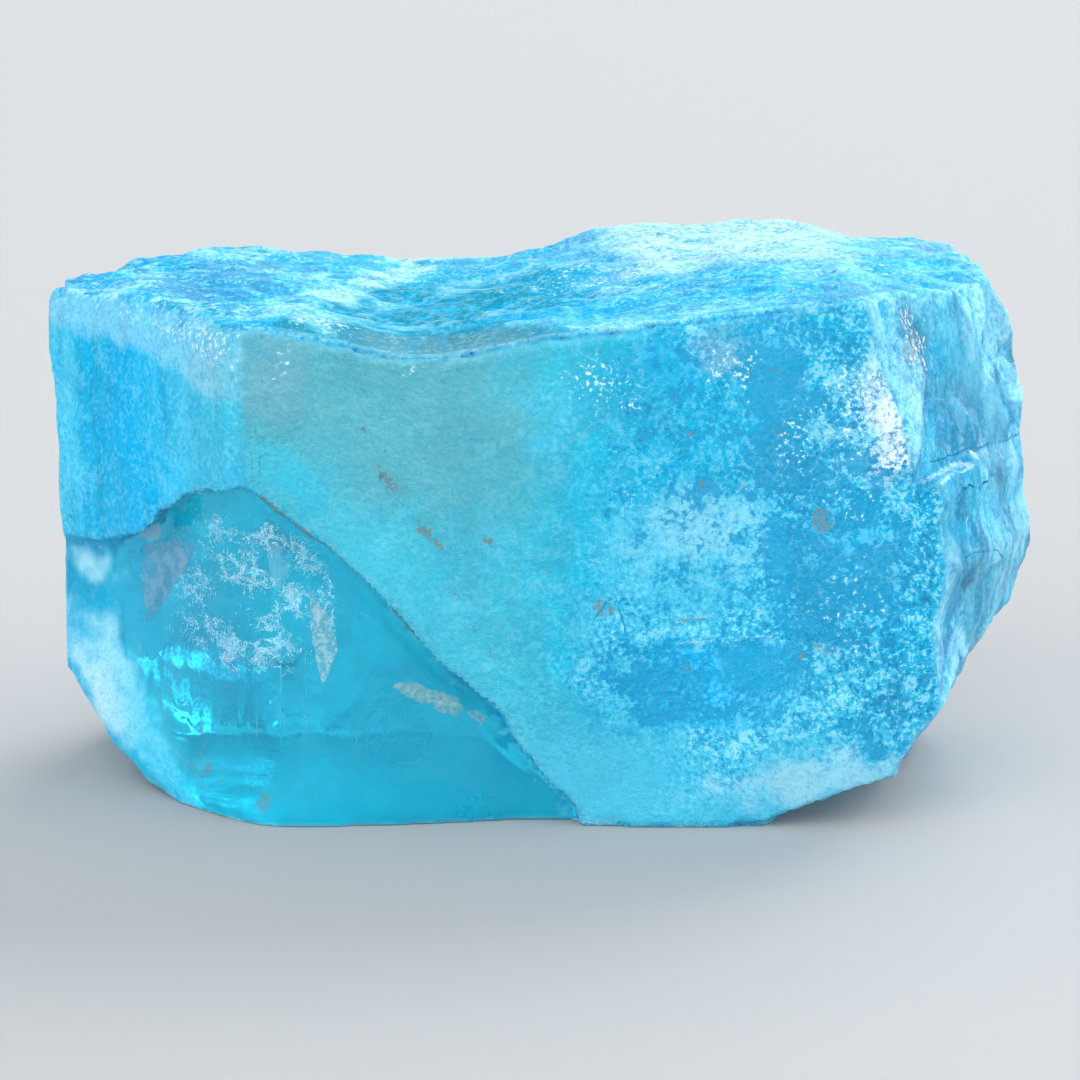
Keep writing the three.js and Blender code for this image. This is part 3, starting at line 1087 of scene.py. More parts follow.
    def _reliefs(self) -> dict[Side, Callable[[Array], Array]]:
        """The relief of each kind of surface.

        Returns:
            For each kind, what gives the millimetres that places move outwards.
        """
        return {
            Side.TOP: self._top_relief,
            Side.LOBE: self._lobe_relief,
            Side.BARED: self._bared_relief,
            Side.BLOCK: self._block_relief,
            Side.RIGHT: self._right_relief,
            Side.REST: self._rest_relief,
        }

    @staticmethod
    def _top_relief(p: Array) -> Array:
        """The top break: low hackle ridges from left to right, small facets, and the scoop at the rim.

        Args:
            p: Places, one row each, in millimetres.

        Returns:
            How far each place moves outwards, in millimetres.
        """
        x, y = p[:, 0], p[:, 1]
        hackle = Grain(Seed.TOP_HACKLE).ridges(p, (6.0, 3.2, 9.0), 4)
        facets = Grain(Seed.TOP_FACETS).creases(p, (2.9, 1.9, 4.0), 3)
        scoop = band(x, -9.6, 0.4, 1.2) * smoothstep(y, -10.4, -8.6) * smoothstep(y, -4.5, -8.4)
        inner = smoothstep(y, -10.4, -7.6)
        return inner * (0.28 * (hackle - 0.5) + 0.22 * (facets - 0.5)) + 0.32 * scoop

    def _lobe_relief(self, p: Array) -> Array:
        """The front prism face: nearly flat, with low steps, faint upright striations and etch marks.

        Args:
            p: Places, one row each, in millimetres.

        Returns:
            How far each place moves outwards, in millimetres.
        """
        x, z = p[:, 0], p[:, 2]
        warp = Grain(Seed.LOBE_STEPS).waves(p, 0.9, 3)
        swell = 0.06 * Grain(Seed.LOBE_SWELL).waves(p, 3.2, 2)
        striae = 0.018 * Grain(Seed.LOBE_STRIAE).waves(p, (0.5, 9.0, 9.0), 2)
        chips = Grain(Seed.LOBE_CHIPS).creases(p, (0.9, 3.0, 0.8), 1)
        gritty = smoothstep(x, 0.5, 3.0) * smoothstep(z, 2.6, 4.2)
        above = smoothstep(z - 0.06 * x + 0.12 * warp, 6.80, 6.92) * band(x, 3.9, 8.4, 0.6)
        steps = 0.12 * above * smoothstep(z, 13.5, 10.0)
        under = 0.12 * smoothstep(z + 0.1 * warp, 13.7, 13.55) * smoothstep(x, 11.0, 12.2)
        steps -= under * smoothstep(z, 9.0, 12.0)
        for flake in self.flakes:
            steps -= 0.07 * Patch(*flake, soft=0.25, ragged=0.5, boxy=3.0).share(x, z, warp)
        small = 0.05 * gritty * (chips - 0.4) + 0.012 * Grain(Seed.LOBE_PITS).waves(p, 0.45, 2)
        return swell + striae + steps + small

    @staticmethod
    def _bared_relief(p: Array) -> Array:
        """The inner fracture: smooth, with slow shell-like ripples and faint upright striations."""
        swell = 0.09 * Grain(Seed.BARED_SWELL).waves(p, (3.0, 3.0, 6.0), 2)
        return swell + 0.02 * Grain(Seed.BARED_STRIAE).waves(p, (0.5, 0.5, 6.0), 1)

    @staticmethod
    def _block_relief(p: Array) -> Array:
        """The block at the upper left: low facets under faint upright streaks."""
        facets = 0.06 * Grain(Seed.BLOCK_FACETS).creases(p, (2.2, 2.2, 3.4))
        return facets + 0.05 * Grain(Seed.BLOCK_STREAKS).waves(p, (0.9, 0.9, 3.0), 3)

    @staticmethod
    def _right_relief(p: Array) -> Array:
        """The right flank: upright broken facets, with smaller ones on them.

        Args:
            p: Places, one row each, in millimetres.

        Returns:
            How far each place moves outwards, in millimetres.
        """
        broad = Grain(Seed.RIGHT_BROAD).creases(p, (4.4, 4.4, 8.0))
        fine = Grain(Seed.RIGHT_FINE).creases(p, (2.0, 2.0, 4.2), 3)
        return 0.30 * (broad - 0.4) + 0.26 * (fine - 0.4)

    @staticmethod
    def _rest_relief(p: Array) -> Array:
        """The back and the left side: an uneven break of broad shell-like facets, stepped and chipped.

        Args:
            p: Places, one row each, in millimetres.

        Returns:
            How far each place moves outwards, in millimetres.
        """
        broad = Grain(Seed.REST_BROAD).creases(p, (7.5, 7.5, 8.5))
        steps = Grain(Seed.REST_STEPS).creases(p, (9.0, 9.0, 1.9))
        fine = Grain(Seed.REST_FINE).creases(p, (2.4, 2.4, 3.6), 3)
        where = smoothstep(Grain(Seed.REST_WHERE).waves(p, 5.0, 2), -0.1, 0.4)
        return 0.65 * (broad - 0.5) + 0.16 * (fine - 0.4) + 0.22 * where * (steps - 0.4)

    def _store_finish(self) -> None:
        """Works out each point's frost, blue, marks and lines, and stores them on the mesh."""
        self.cloud = Grain(Seed.CLOUD).waves(self.at, 3.6, 3)
        self.warp = Grain(Seed.WARP).waves(self.at, 1.1, 3)
        shifts = [Grain(seed).waves(self.at, 2.8, 2) for seed in (Seed.BEND_X, Seed.BEND_Y, Seed.BEND_Z)]
        self.bent = self.at + 0.9 * np.stack(shifts, axis=1)
        self.streak = Grain(Seed.STREAK).waves(self.bent, (3.4, 1.8, 3.0), 3)
        s = self.share
        self.tone = np.tile(Hue.SKY.rgb(), (len(self.at), 1))
        sheet = Grain(Seed.SHEET).waves(self.at, (5.0, 5.0, 7.0), 4)
        self.frost = s[Side.REST] * (0.60 + 0.45 * np.clip(sheet, -0.7, 0.7))
        self.rough = (
            s[Side.REST] * (0.55 + 0.6 * sheet) + 0.85 * s[Side.LOBE] + 0.02 * s[Side.BARED]
            + 0.8 * s[Side.BLOCK] + 0.75 * s[Side.TOP] + 0.75 * s[Side.RIGHT]
        )
        self.grit = (
            s[Side.REST] * (0.55 + 0.7 * sheet) + 0.20 * s[Side.LOBE] + 0.05 * s[Side.BARED]
            + 0.35 * s[Side.BLOCK] + 0.75 * s[Side.TOP] + s[Side.RIGHT] * (0.45 + 0.3 * sheet)
        )
        self.cover = 0.62 + 0.2 * self.cloud
        self.stain = np.zeros(len(self.at))
        self.highlight_paint = np.zeros(len(self.at))
        self._paint_rest(sheet)
        self._part_faces(s[Side.REST], Seed.REST_FACES, (3.4, 3.4, 4.6), 0.6)
        self._paint_lobe()
        self._paint_bared()
        self._paint_block()
        self._paint_top()
        self._paint_right()
        self._part_faces(s[Side.RIGHT], Seed.RIGHT_FACES, (3.8, 3.8, 6.2), 1.0)
        self._part_faces(s[Side.RIGHT], Seed.RIGHT_SPLINTERS, (1.9, 1.9, 3.3), 0.6)
        self._paint_edges()
        self._store("body", np.column_stack([self.frost, self.rough, self.grit]))
        self._store("tone", self.tone)
        self._store("marks", np.column_stack([self.cover, self.stain, self.highlight_paint]))
        self._store("lines", self._draw_seams())

    def _on(self, side: Side, plane: Plane, patch: Patch) -> Array:
        """How much each point belongs to a patch on one kind of surface."""
        u, v = (self.at[:, axis] for axis in plane.value)
        return self.share[side] * patch.share(u, v, self.warp)

    def _wash(self, where: Array, hue: Hue, share: float) -> None:
        """Lays a colour over what is there."""
        self.tone += (hue.rgb() - self.tone) * (share * where)[:, None]

    def _paint_highlight(self, amount: Array) -> None:
        """Paints a highlight into points' colour, at least this much."""
        self.highlight_paint = np.maximum(self.highlight_paint, amount)

    def _soil(self, amount: Array) -> None:
        """Stains points at least this much."""
        self.stain = np.maximum(self.stain, amount)

    def _tint(self, side: Side, plane: Plane, tints: Sequence[Tint]) -> None:
        """Lays patches of other blues on one kind of surface.

        Args:
            side: The kind of surface.
            plane: The plane that they are laid out on.
            tints: The patches, first to last.
        """
        for tint in tints:
            on = self._on(side, plane, tint.patch)
            self._wash(on, tint.hue, tint.share)
            self.cover += tint.cover * on
            self.frost += tint.frost * on
            self.grit -= tint.calm * on * self.grit

    def _dot(
        self, mark: Callable[[Array], None], side: Side, plane: Plane, spots: Sequence[Spot],
        soft: float, ragged: float,
    ) -> None:
        """Marks small spots on one kind of surface.

        Args:
            mark: What marks the skin, given how much of a spot is at each point.
            side: The kind of surface.
            plane: The plane that the spots are laid out on.
            spots: The spots.
            soft: How softly they end.
            ragged: How ragged they are.
        """
        for spot in spots:
            patch = Patch(spot.at, spot.half, spot.turn_deg, soft, ragged)
            mark(spot.share * self._on(side, plane, patch))

    def _part_faces(self, where: Array, seed: int, size: Point, strength: float) -> None:
        """Makes some facets of a break icy and some clear, with dark cracks between a few of them.

        Args:
            where: How much each point belongs to the break.
            seed: The seed of the facets.
            size: A facet's size along each axis, in millimetres.
            strength: How much the facets differ.
        """
        _, border, label = Grain(seed).facets(self.bent, size)
        icy = where * strength * smoothstep(label, 0.62, 0.70)
        clear = where * strength * smoothstep(label, 0.32, 0.24)
        crack = where * strength * smoothstep(border, 0.15, 0.04) * smoothstep(self.streak, -0.25, 0.15)
        self._wash(icy, Hue.ICE, 0.6)
        self._wash(clear, Hue.SKY, 0.55)
        self._wash(crack, Hue.ABYSS, 0.8)
        self.frost += 0.12 * icy - 0.14 * clear - 0.1 * crack
        self.rough += 0.2 * icy - 0.35 * clear
        self.cover += 0.15 * icy + 0.10 * clear - 0.3 * crack

    def _paint_rest(self, sheet: Array) -> None:
        """The back and the left side: icy breaks between clear blue ones, with upright streaks.

        Args:
            sheet: How icy each point is, from about -1 to 1.
        """
        rest = self.share[Side.REST]
        upright = Grain(Seed.REST_STREAKS).waves(self.at, (0.9, 0.9, 7.0), 3)
        self._wash(rest * smoothstep(sheet, 0.0, 0.5), Hue.PALE, 0.8)
        self._wash(rest * smoothstep(sheet, 0.3, 0.8), Hue.ICE, 0.6)
        self._wash(rest * smoothstep(sheet, -0.1, -0.5), Hue.DEEP, 0.8)
        self._wash(rest * smoothstep(upright, 0.15, 0.5), Hue.ICE, 0.25)
        self._wash(rest * smoothstep(upright, -0.2, -0.5), Hue.DEEP, 0.5)
        self.cover += rest * 0.3 * sheet
        # Painted highlight: white glints on the icy breaks.
        self._paint_highlight(0.42 * rest * smoothstep(sheet, 0.2, 0.7))
        self._soil(0.36 * rest * smoothstep(self.warp, 0.2, 0.8))

    def _paint_lobe(self) -> None:
        """The front prism face: teal at the upper left, mottled pale skin over deep blue at the right."""
        lobe = self.share[Side.LOBE]
        x, _, z = self.at.T
        self.frost += lobe * (0.72 + 0.10 * self.cloud)
        bent = x + 1.2 * self.warp - 0.12 * (z - 10.0)
        self._wash(lobe * smoothstep(bent, 3.8, -1.6), Hue.AQUA, 0.9)
        middle = 0.22 * smoothstep(bent + self.cloud, -1.5, 4.0)
        self.grit += lobe * (middle + 0.50 * smoothstep(bent, 5.5, 9.5))
        self.grit += lobe * 0.35 * smoothstep(self.cloud, 0.1, 0.5) * smoothstep(bent, 0.5, 3.0)
        self.grit -= 0.65 * lobe * self.grit * smoothstep(z + self.cloud, 4.2, 1.2)
        blotch = self.warp + 0.5 * self.cloud
        self._wash(lobe * smoothstep(blotch, 0.15, 0.7), Hue.PALE, 0.30)
        self._wash(lobe * smoothstep(blotch, -0.2, -0.8), Hue.LAGOON, 0.35)
        upright = Grain(Seed.LOBE_STREAKS).waves(self.bent, (1.1, 1.1, 7.0), 4)
        self._wash(lobe * smoothstep(upright, 0.1, 0.6) * smoothstep(bent, 6.0, 0.0), Hue.PALE, 0.35)
        self._wash(lobe * smoothstep(upright, -0.1, -0.6) * smoothstep(bent, 6.0, 0.0), Hue.LAGOON, 0.45)
        teal = self._on(Side.LOBE, Plane.FRONT, Patch((-6.0, 16.2), (6.4, 4.6), -12.0, 0.45, 0.15))
        self._wash(teal * smoothstep(bent, 1.6, -2.0), Hue.TEAL, 0.85)
        strip = lobe * smoothstep(self._from_edge(), 5.0, 2.0) * smoothstep(z, 15.5, 12.5)
        self._wash(strip, Hue.AQUA, 0.6)
        self._wash(strip, Hue.PALE, 0.25)
        foot = smoothstep(z, 4.4, 3.2) * smoothstep(x, 8.0, 6.5)
        smooth = np.maximum(smoothstep(bent + 2.0 * self.cloud, 4.5, -2.0), foot)
        self.cover += lobe * (0.55 * smooth - 0.05 * (1.0 - smooth))
        self._tint(Side.LOBE, Plane.FRONT, LOBE_TINTS)
        self._dot(self._soil, Side.LOBE, Plane.FRONT, LOBE_STAINS, 0.5, 0.2)
        # Painted highlight: white glints in the listed spots.
        self._dot(self._paint_highlight, Side.LOBE, Plane.FRONT, LOBE_PAINTED_HIGHLIGHTS, 0.6, 0.4)

    def _from_edge(self) -> Array:
        """How far each point is to the right of the front prism face's broken edge."""
        edge = np.array([(h, e) for e, h in self.lobe_edge]).T
        return self.at[:, 0] - np.interp(self.at[:, 2], *edge)

    def _paint_bared(self) -> None:
        """The inner fracture: a clear window into deep blue, with a pale foot at the left."""
        bared = self.share[Side.BARED]
        self.frost += bared * (0.39 + 0.05 * self.cloud)
        self._wash(bared, Hue.LAGOON, 1.0)
        depths = smoothstep(self._from_edge(), -5.0, -9.0) * smoothstep(self.at[:, 2], 3.0, 6.0)
        self._wash(bared * depths, Hue.DEEP, 0.5)
        clearest = Patch((-10.8, 7.8), (4.0, 3.6), 0.0, 0.5, 0.3)
        self.frost -= 0.14 * self._on(Side.BARED, Plane.FRONT, clearest)
        self.cover += bared * 0.85
        x, _, z = self.at.T
        foot = smoothstep(x + 0.55 * (z - 1.2) + 0.5 * self.warp, -13.4, -14.6)
        foot *= smoothstep(z, 7.2, 5.6)
        foot = np.maximum(foot, smoothstep(x + 0.25 * self.warp, -16.4, -16.9) * smoothstep(z, 9.5, 5.0))
        self._wash(bared * foot, Hue.SKY, 0.9)
        self.frost += 0.45 * bared * foot
        self.rough += 0.8 * bared * foot
        self.grit += 0.2 * bared * foot
        # Paler patches, partly a painted glow at the lower left.
        self._tint(Side.BARED, Plane.FRONT, BARED_PATCHES_AND_GLOW)
        self._dot(self._soil, Side.BARED, Plane.FRONT, BARED_STAINS, 0.7, 0.5)

    def _paint_block(self) -> None:
        """The block at the upper left: a deep band between a pale corner strip and a paler part."""
        block = self.share[Side.BLOCK]
        upright = Grain(Seed.BLOCK_TINT).waves(self.at, (0.7, 0.7, 6.0), 3)
        self.frost += block * (0.84 + 0.10 * self.cloud)
        self.cover += block * 0.25
        x, _, z = self.at.T
        outer = block * smoothstep(x, -12.6, -14.2)
        self._wash(outer * smoothstep(upright, -0.35, 0.25), Hue.DEEP, 0.9)
        self._wash(block * smoothstep(upright, -0.1, -0.5), Hue.ABYSS, 0.35)
        self._wash(block * smoothstep(upright, 0.2, 0.6), Hue.PALE, 0.35)
        self._tint(Side.BLOCK, Plane.FRONT, BLOCK_TINTS)
        brow = np.interp(x, (-18.9, -16.1, -13.9, -11.9), (17.8, 17.6, 17.0, 16.1))
        slope = z - brow + 0.35 * self.warp
        bevel = block * smoothstep(slope, -0.1, 0.4)
        self._wash(bevel, Hue.ICE, 0.42)
        self._wash(bevel * smoothstep(x, -13.6, -11.8), Hue.ROSE, 0.3)
        # Painted highlight: glints on the bevel.
        self._paint_highlight(0.50 * bevel * smoothstep(slope, 0.4, 1.8))
        inner = block * smoothstep(x + 0.9 * self.warp + 0.10 * (17.0 - z), -12.6, -11.4)
        inner *= smoothstep(z, 13.0, 15.0)
        self._wash(inner, Hue.AQUA, 0.55)

    def _paint_top(self) -> None:
        """The top break: a whiter back right, partly frost and partly painted light, deep streaks, painted
        glints, a painted shade band along the front rim, and the teal scoop at the front.
        """
        top = self.share[Side.TOP]
        x, y, _ = self.at.T
        thin = Grain(Seed.TOP_STREAKS).waves(self.bent, (3.4, 2.2, 3.0), 5)
        self.frost += top * (0.86 + 0.10 * self.streak)
        self.cover += top * (0.05 + 0.25 * self.streak)
        self._wash(top * smoothstep(thin, 0.1, 0.5), Hue.ICE, 0.5)
        self._wash(top * smoothstep(thin, -0.05, -0.4), Hue.ABYSS, 0.6)
        drift = 2.2 * self.cloud + 0.9 * self.streak
        # The back right is painted whiter: partly real frost, and partly painted light where the key light
        # falls from behind.
        back_frost_and_glow = top * smoothstep(x + drift, 0.0, 5.0) * smoothstep(x + drift, 14.5, 11.0)
        back_frost_and_glow *= smoothstep(y + drift, -3.0, 2.0)
        self._wash(back_frost_and_glow, Hue.FROST, 0.55)
        self.cover += 0.3 * back_frost_and_glow
        self.frost += 0.15 * back_frost_and_glow
        coast = np.interp(y, (-9.8, -4.7, 1.4, 6.0), (-9.8, -8.4, -6.9, -5.0))
        shore = x - coast + 0.5 * self.warp
        shore += 0.8 * self.cloud * smoothstep(y, -9.0, -6.0)
        lens = top * smoothstep(shore, -0.1, 0.25) * smoothstep(x + drift, 4.5, -2.5)
        lens *= smoothstep(y + drift, 7.0, 1.0) * (0.35 + 0.65 * smoothstep(thin, 0.6, 0.1))
        self._wash(lens, Hue.LENS, 0.9)
        self.frost += 0.2 * lens
        self.cover += 0.3 * lens
        self.grit -= 0.45 * lens
        # A pale band along the scoop's left edge, with painted highlight glints on it.
        crest_highlight = top * band(shore, -1.2, -0.15, 0.7) * smoothstep(y, -9.5, -6.0)
        crest_highlight *= smoothstep(self.streak, -0.5, 0.2)
        self._wash(crest_highlight, Hue.ICE, 0.8)
        self._paint_highlight(0.50 * crest_highlight)
        self._tint(Side.TOP, Plane.TOP, TOP_PATCHES_AND_RIM_SHADE)
        # Painted highlight: glints in the listed spots on the top.
        self._dot(self._paint_highlight, Side.TOP, Plane.TOP, TOP_PAINTED_HIGHLIGHTS, 0.6, 0.5)

    def _paint_right(self) -> None:
        """The right flank: pale slabs parted by deep upright streaks."""
        right = self.share[Side.RIGHT]
        upright = Grain(Seed.RIGHT_STREAKS).waves(self.bent, (3.2, 3.2, 5.5), 4)
        self.frost += right * (0.66 + 0.22 * self.cloud)
        self._wash(right, Hue.PALE, 0.9)
        self._wash(right * smoothstep(upright, -0.1, 0.4), Hue.ICE, 0.7)
        self._wash(right * smoothstep(upright, -0.1, -0.35), Hue.DEEP, 0.9)
        self._wash(right * smoothstep(upright, -0.4, -0.7), Hue.ABYSS, 0.7)
        self._wash(right * smoothstep(self.cloud, -0.2, -0.6), Hue.SKY, 0.8)
        self.cover += right * (0.12 + 0.25 * upright)
        corner = self._on(Side.RIGHT, Plane.SIDE, Patch((-8.4, 18.2), (1.0, 1.7), 0.0, 0.6, 0.6))
        self._wash(corner, Hue.ABYSS, 0.6)
        # Painted highlight: glints at the dark corner.
        self._paint_highlight(0.58 * corner)
        self._soil(0.60 * corner)

    def _paint_edges(self) -> None:
        """Paints crests and edges paler, as painted highlight with a little more frost, and hollows deeper
        blue, as painted shade; and stains the broken edge's rim.
        """
        lift = ((self.at - self._spread(self.at, 3)) * self.facing).sum(axis=1)
        rough = self.share[Side.TOP] + self.share[Side.RIGHT] + 0.6 * self.share[Side.REST]
        calm = self.share[Side.LOBE] + self.share[Side.BLOCK]
        # Painted highlight on convex ridges and edges, and painted shade in the hollows between them.
        crest_highlight = smoothstep(lift, 0.008, 0.05) * (1.0 - 0.6 * calm)
        shaded_hollow = smoothstep(lift, -0.004, -0.024) * rough
        self._wash(shaded_hollow, Hue.DEEP, 0.8)
        self.cover -= 0.10 * shaded_hollow
        self._wash(crest_highlight, Hue.ICE, 0.45)
        self.frost += 0.15 * crest_highlight - 0.10 * shaded_hollow
        self.cover += 0.30 * crest_highlight
        _, y, z = self.at.T
        rim = smoothstep(np.abs(self._from_edge()), 0.75, 0.4) * (1.0 - self.share[Side.LOBE])
        rim *= self.facing[:, 1] < 0.3
        rim *= smoothstep(z, 13.4, 12.8) * smoothstep(z, 0.2, 0.6) * smoothstep(-8.6 - y, -0.1, 0.3)
        self.frost += 0.55 * rim
        self._wash(rim, Hue.AQUA, 0.8)
        self._soil(rim * (0.25 + 0.45 * smoothstep(z, 5.5, 8.0)))

    def _draw_seams(self) -> Array:
        """The thin lines.

        Returns:
            For each point, how far it is to the side of the nearest line, where 0.5 is on the line;
            that line's strength; and what fills it.
        """
        best = np.full(len(self.at), 9.0)
        made = np.zeros((len(self.at), 3))
        made[:, 0] = 1.0
        shift = 0.16 * Grain(Seed.SEAM_SHIFT).waves(self.at, 1.3, 3)
        for side, plane, seams in (
            (Side.LOBE, Plane.FRONT, LOBE_SEAMS), (Side.RIGHT, Plane.SIDE, RIGHT_SEAMS),
        ):
            u, v = (self.at[:, axis] for axis in plane.value)
            for seam in seams:
                for far, aside, ends in seam.measure(u, v):
                    inside = (self.share[side] > 0.3) & (far < best) & (far < self.seam_reach)
                    best[inside] = far[inside]
                    strength = seam.strength * ends * (far < 0.75)
                    made[inside, 0] = 0.5 + (aside + shift)[inside] / seam.width
                    made[inside, 1] = strength[inside]
                    made[inside, 2] = seam.trace.value
        return made

    def _store(self, name: str, values: Array) -> None:
        """Stores a colour at each point of the mesh.

        Args:
            name: What a finish reads it by.
            values: Three numbers for each point.
        """
        layer = self.piece.data.attributes.new(name, "FLOAT_COLOR", "POINT")
        colours = np.column_stack([np.clip(values, 0.0, 1.0), np.ones(len(values))])
        layer.data.foreach_set("color", colours.astype(np.float32).ravel())


# ---------------------------------------------------------------- what is sealed in the crystal


@dataclass(frozen=True)
class SealedFinish:
    """Something sealed in the crystal, in two colours that noise breaks up.

    Attributes:
        name: The material's name.
        main: Its main colour.
        other: The colour of its flecks.
        grain_mm: Size of the flecks.
        share: How much of it the flecks cover.
        roughness: How rough it is on the whole.
        glow: How much light it gives off, in place of the light that the clear crystal leads to it.
    """

    name: str
    main: Colour
    other: Colour
    grain_mm: float
    share: float = 0.5
    roughness: float = 0.3
    glow: float = 0.35
    ior: float = 1.4
    pit_depth_mm: float = 0.08

    def material(self) -> bpy.types.Material:
        """Builds the material.

        Returns:
            The material.
        """
        t = Tree(self.name)
        grain = t.noise(self.grain_mm, 3.0, 0.65)
        mask = grain.ramp(0.62 - 0.3 * self.share, 0.74 - 0.3 * self.share)
        colour = t.mix(mask, (*self.main, 1.0), (*self.other, 1.0))
        return t.finish(t.node("BsdfPrincipled", {}, {
            "Base Color": colour,
            "Emission Color": colour,
            "Emission Strength": self.glow,
            "Roughness": (self.roughness + 0.3 * (grain - 0.5)).clamp(0.05, 1.0),
            "IOR": self.ior,
            "Normal": t.bump(grain, self.pit_depth_mm),
        }))


@dataclass
class Sealed:
    """Things sealed in the crystal, each a set depth behind the front of the skin."""

    ahead: float = -30.0
    usual_front: float = -6.0
    solid: BVHTree = field(init=False)

    def __post_init__(self) -> None:
        """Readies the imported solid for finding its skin."""
        work = bmesh.new()
        work.from_mesh(frame["nodes"][NODE].data)
        self.solid = BVHTree.FromBMesh(work)
        work.free()

    def behind(self, x: float, z: float, depth: float) -> Vector:
        """A place behind the front of the skin.

        Args:
            x: Place from left to right, in millimetres.
            z: Height, in millimetres.
            depth: How far behind the skin it is, in millimetres.

        Returns:
            The place, in millimetres.
        """
        start = Vector((x, self.ahead, z)) * MM
        hit, *_ = self.solid.ray_cast(start, Vector((0.0, 1.0, 0.0)))
        y = hit.y / MM if hit else self.usual_front
        return Vector((x, y + depth, z))

    def make(
        self, name: str, points: Sequence[Vector], faces: Sequence[Sequence[int]], finish: SealedFinish
    ) -> None:
        """Makes one piece.

        Args:
            name: The piece's name.
            points: Its points, in millimetres.
            faces: Its faces, as point numbers.
            finish: Its finish.
        """
        mesh = bpy.data.meshes.new(name)
        used = sorted({number for face in faces for number in face})
        place = {number: order for order, number in enumerate(used)}
        kept = [tuple(points[number] * MM) for number in used]
        mesh.from_pydata(kept, [], [[place[number] for number in face] for face in faces])
        mesh.validate()
        mesh.materials.append(finish.material())
        piece = bpy.data.objects.new(name, mesh)
        bpy.context.scene.collection.objects.link(piece)
        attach(piece, BODY)
        LOG.info("%s: %d faces", name, len(mesh.polygons))

    def make_from(
        self, name: str, work: bmesh.types.BMesh, points: Sequence[Vector], finish: SealedFinish
    ) -> None:
        """Makes one piece from a worked shape's faces, and frees the shape.

        Args:
            name: The piece's name.
            work: The shape.
            points: Where its points go, in millimetres.
            finish: The piece's finish.
        """
        work.verts.index_update()
        faces = [[vertex.index for vertex in face.verts] for face in work.faces]
        work.free()
        self.make(name, points, faces, finish)


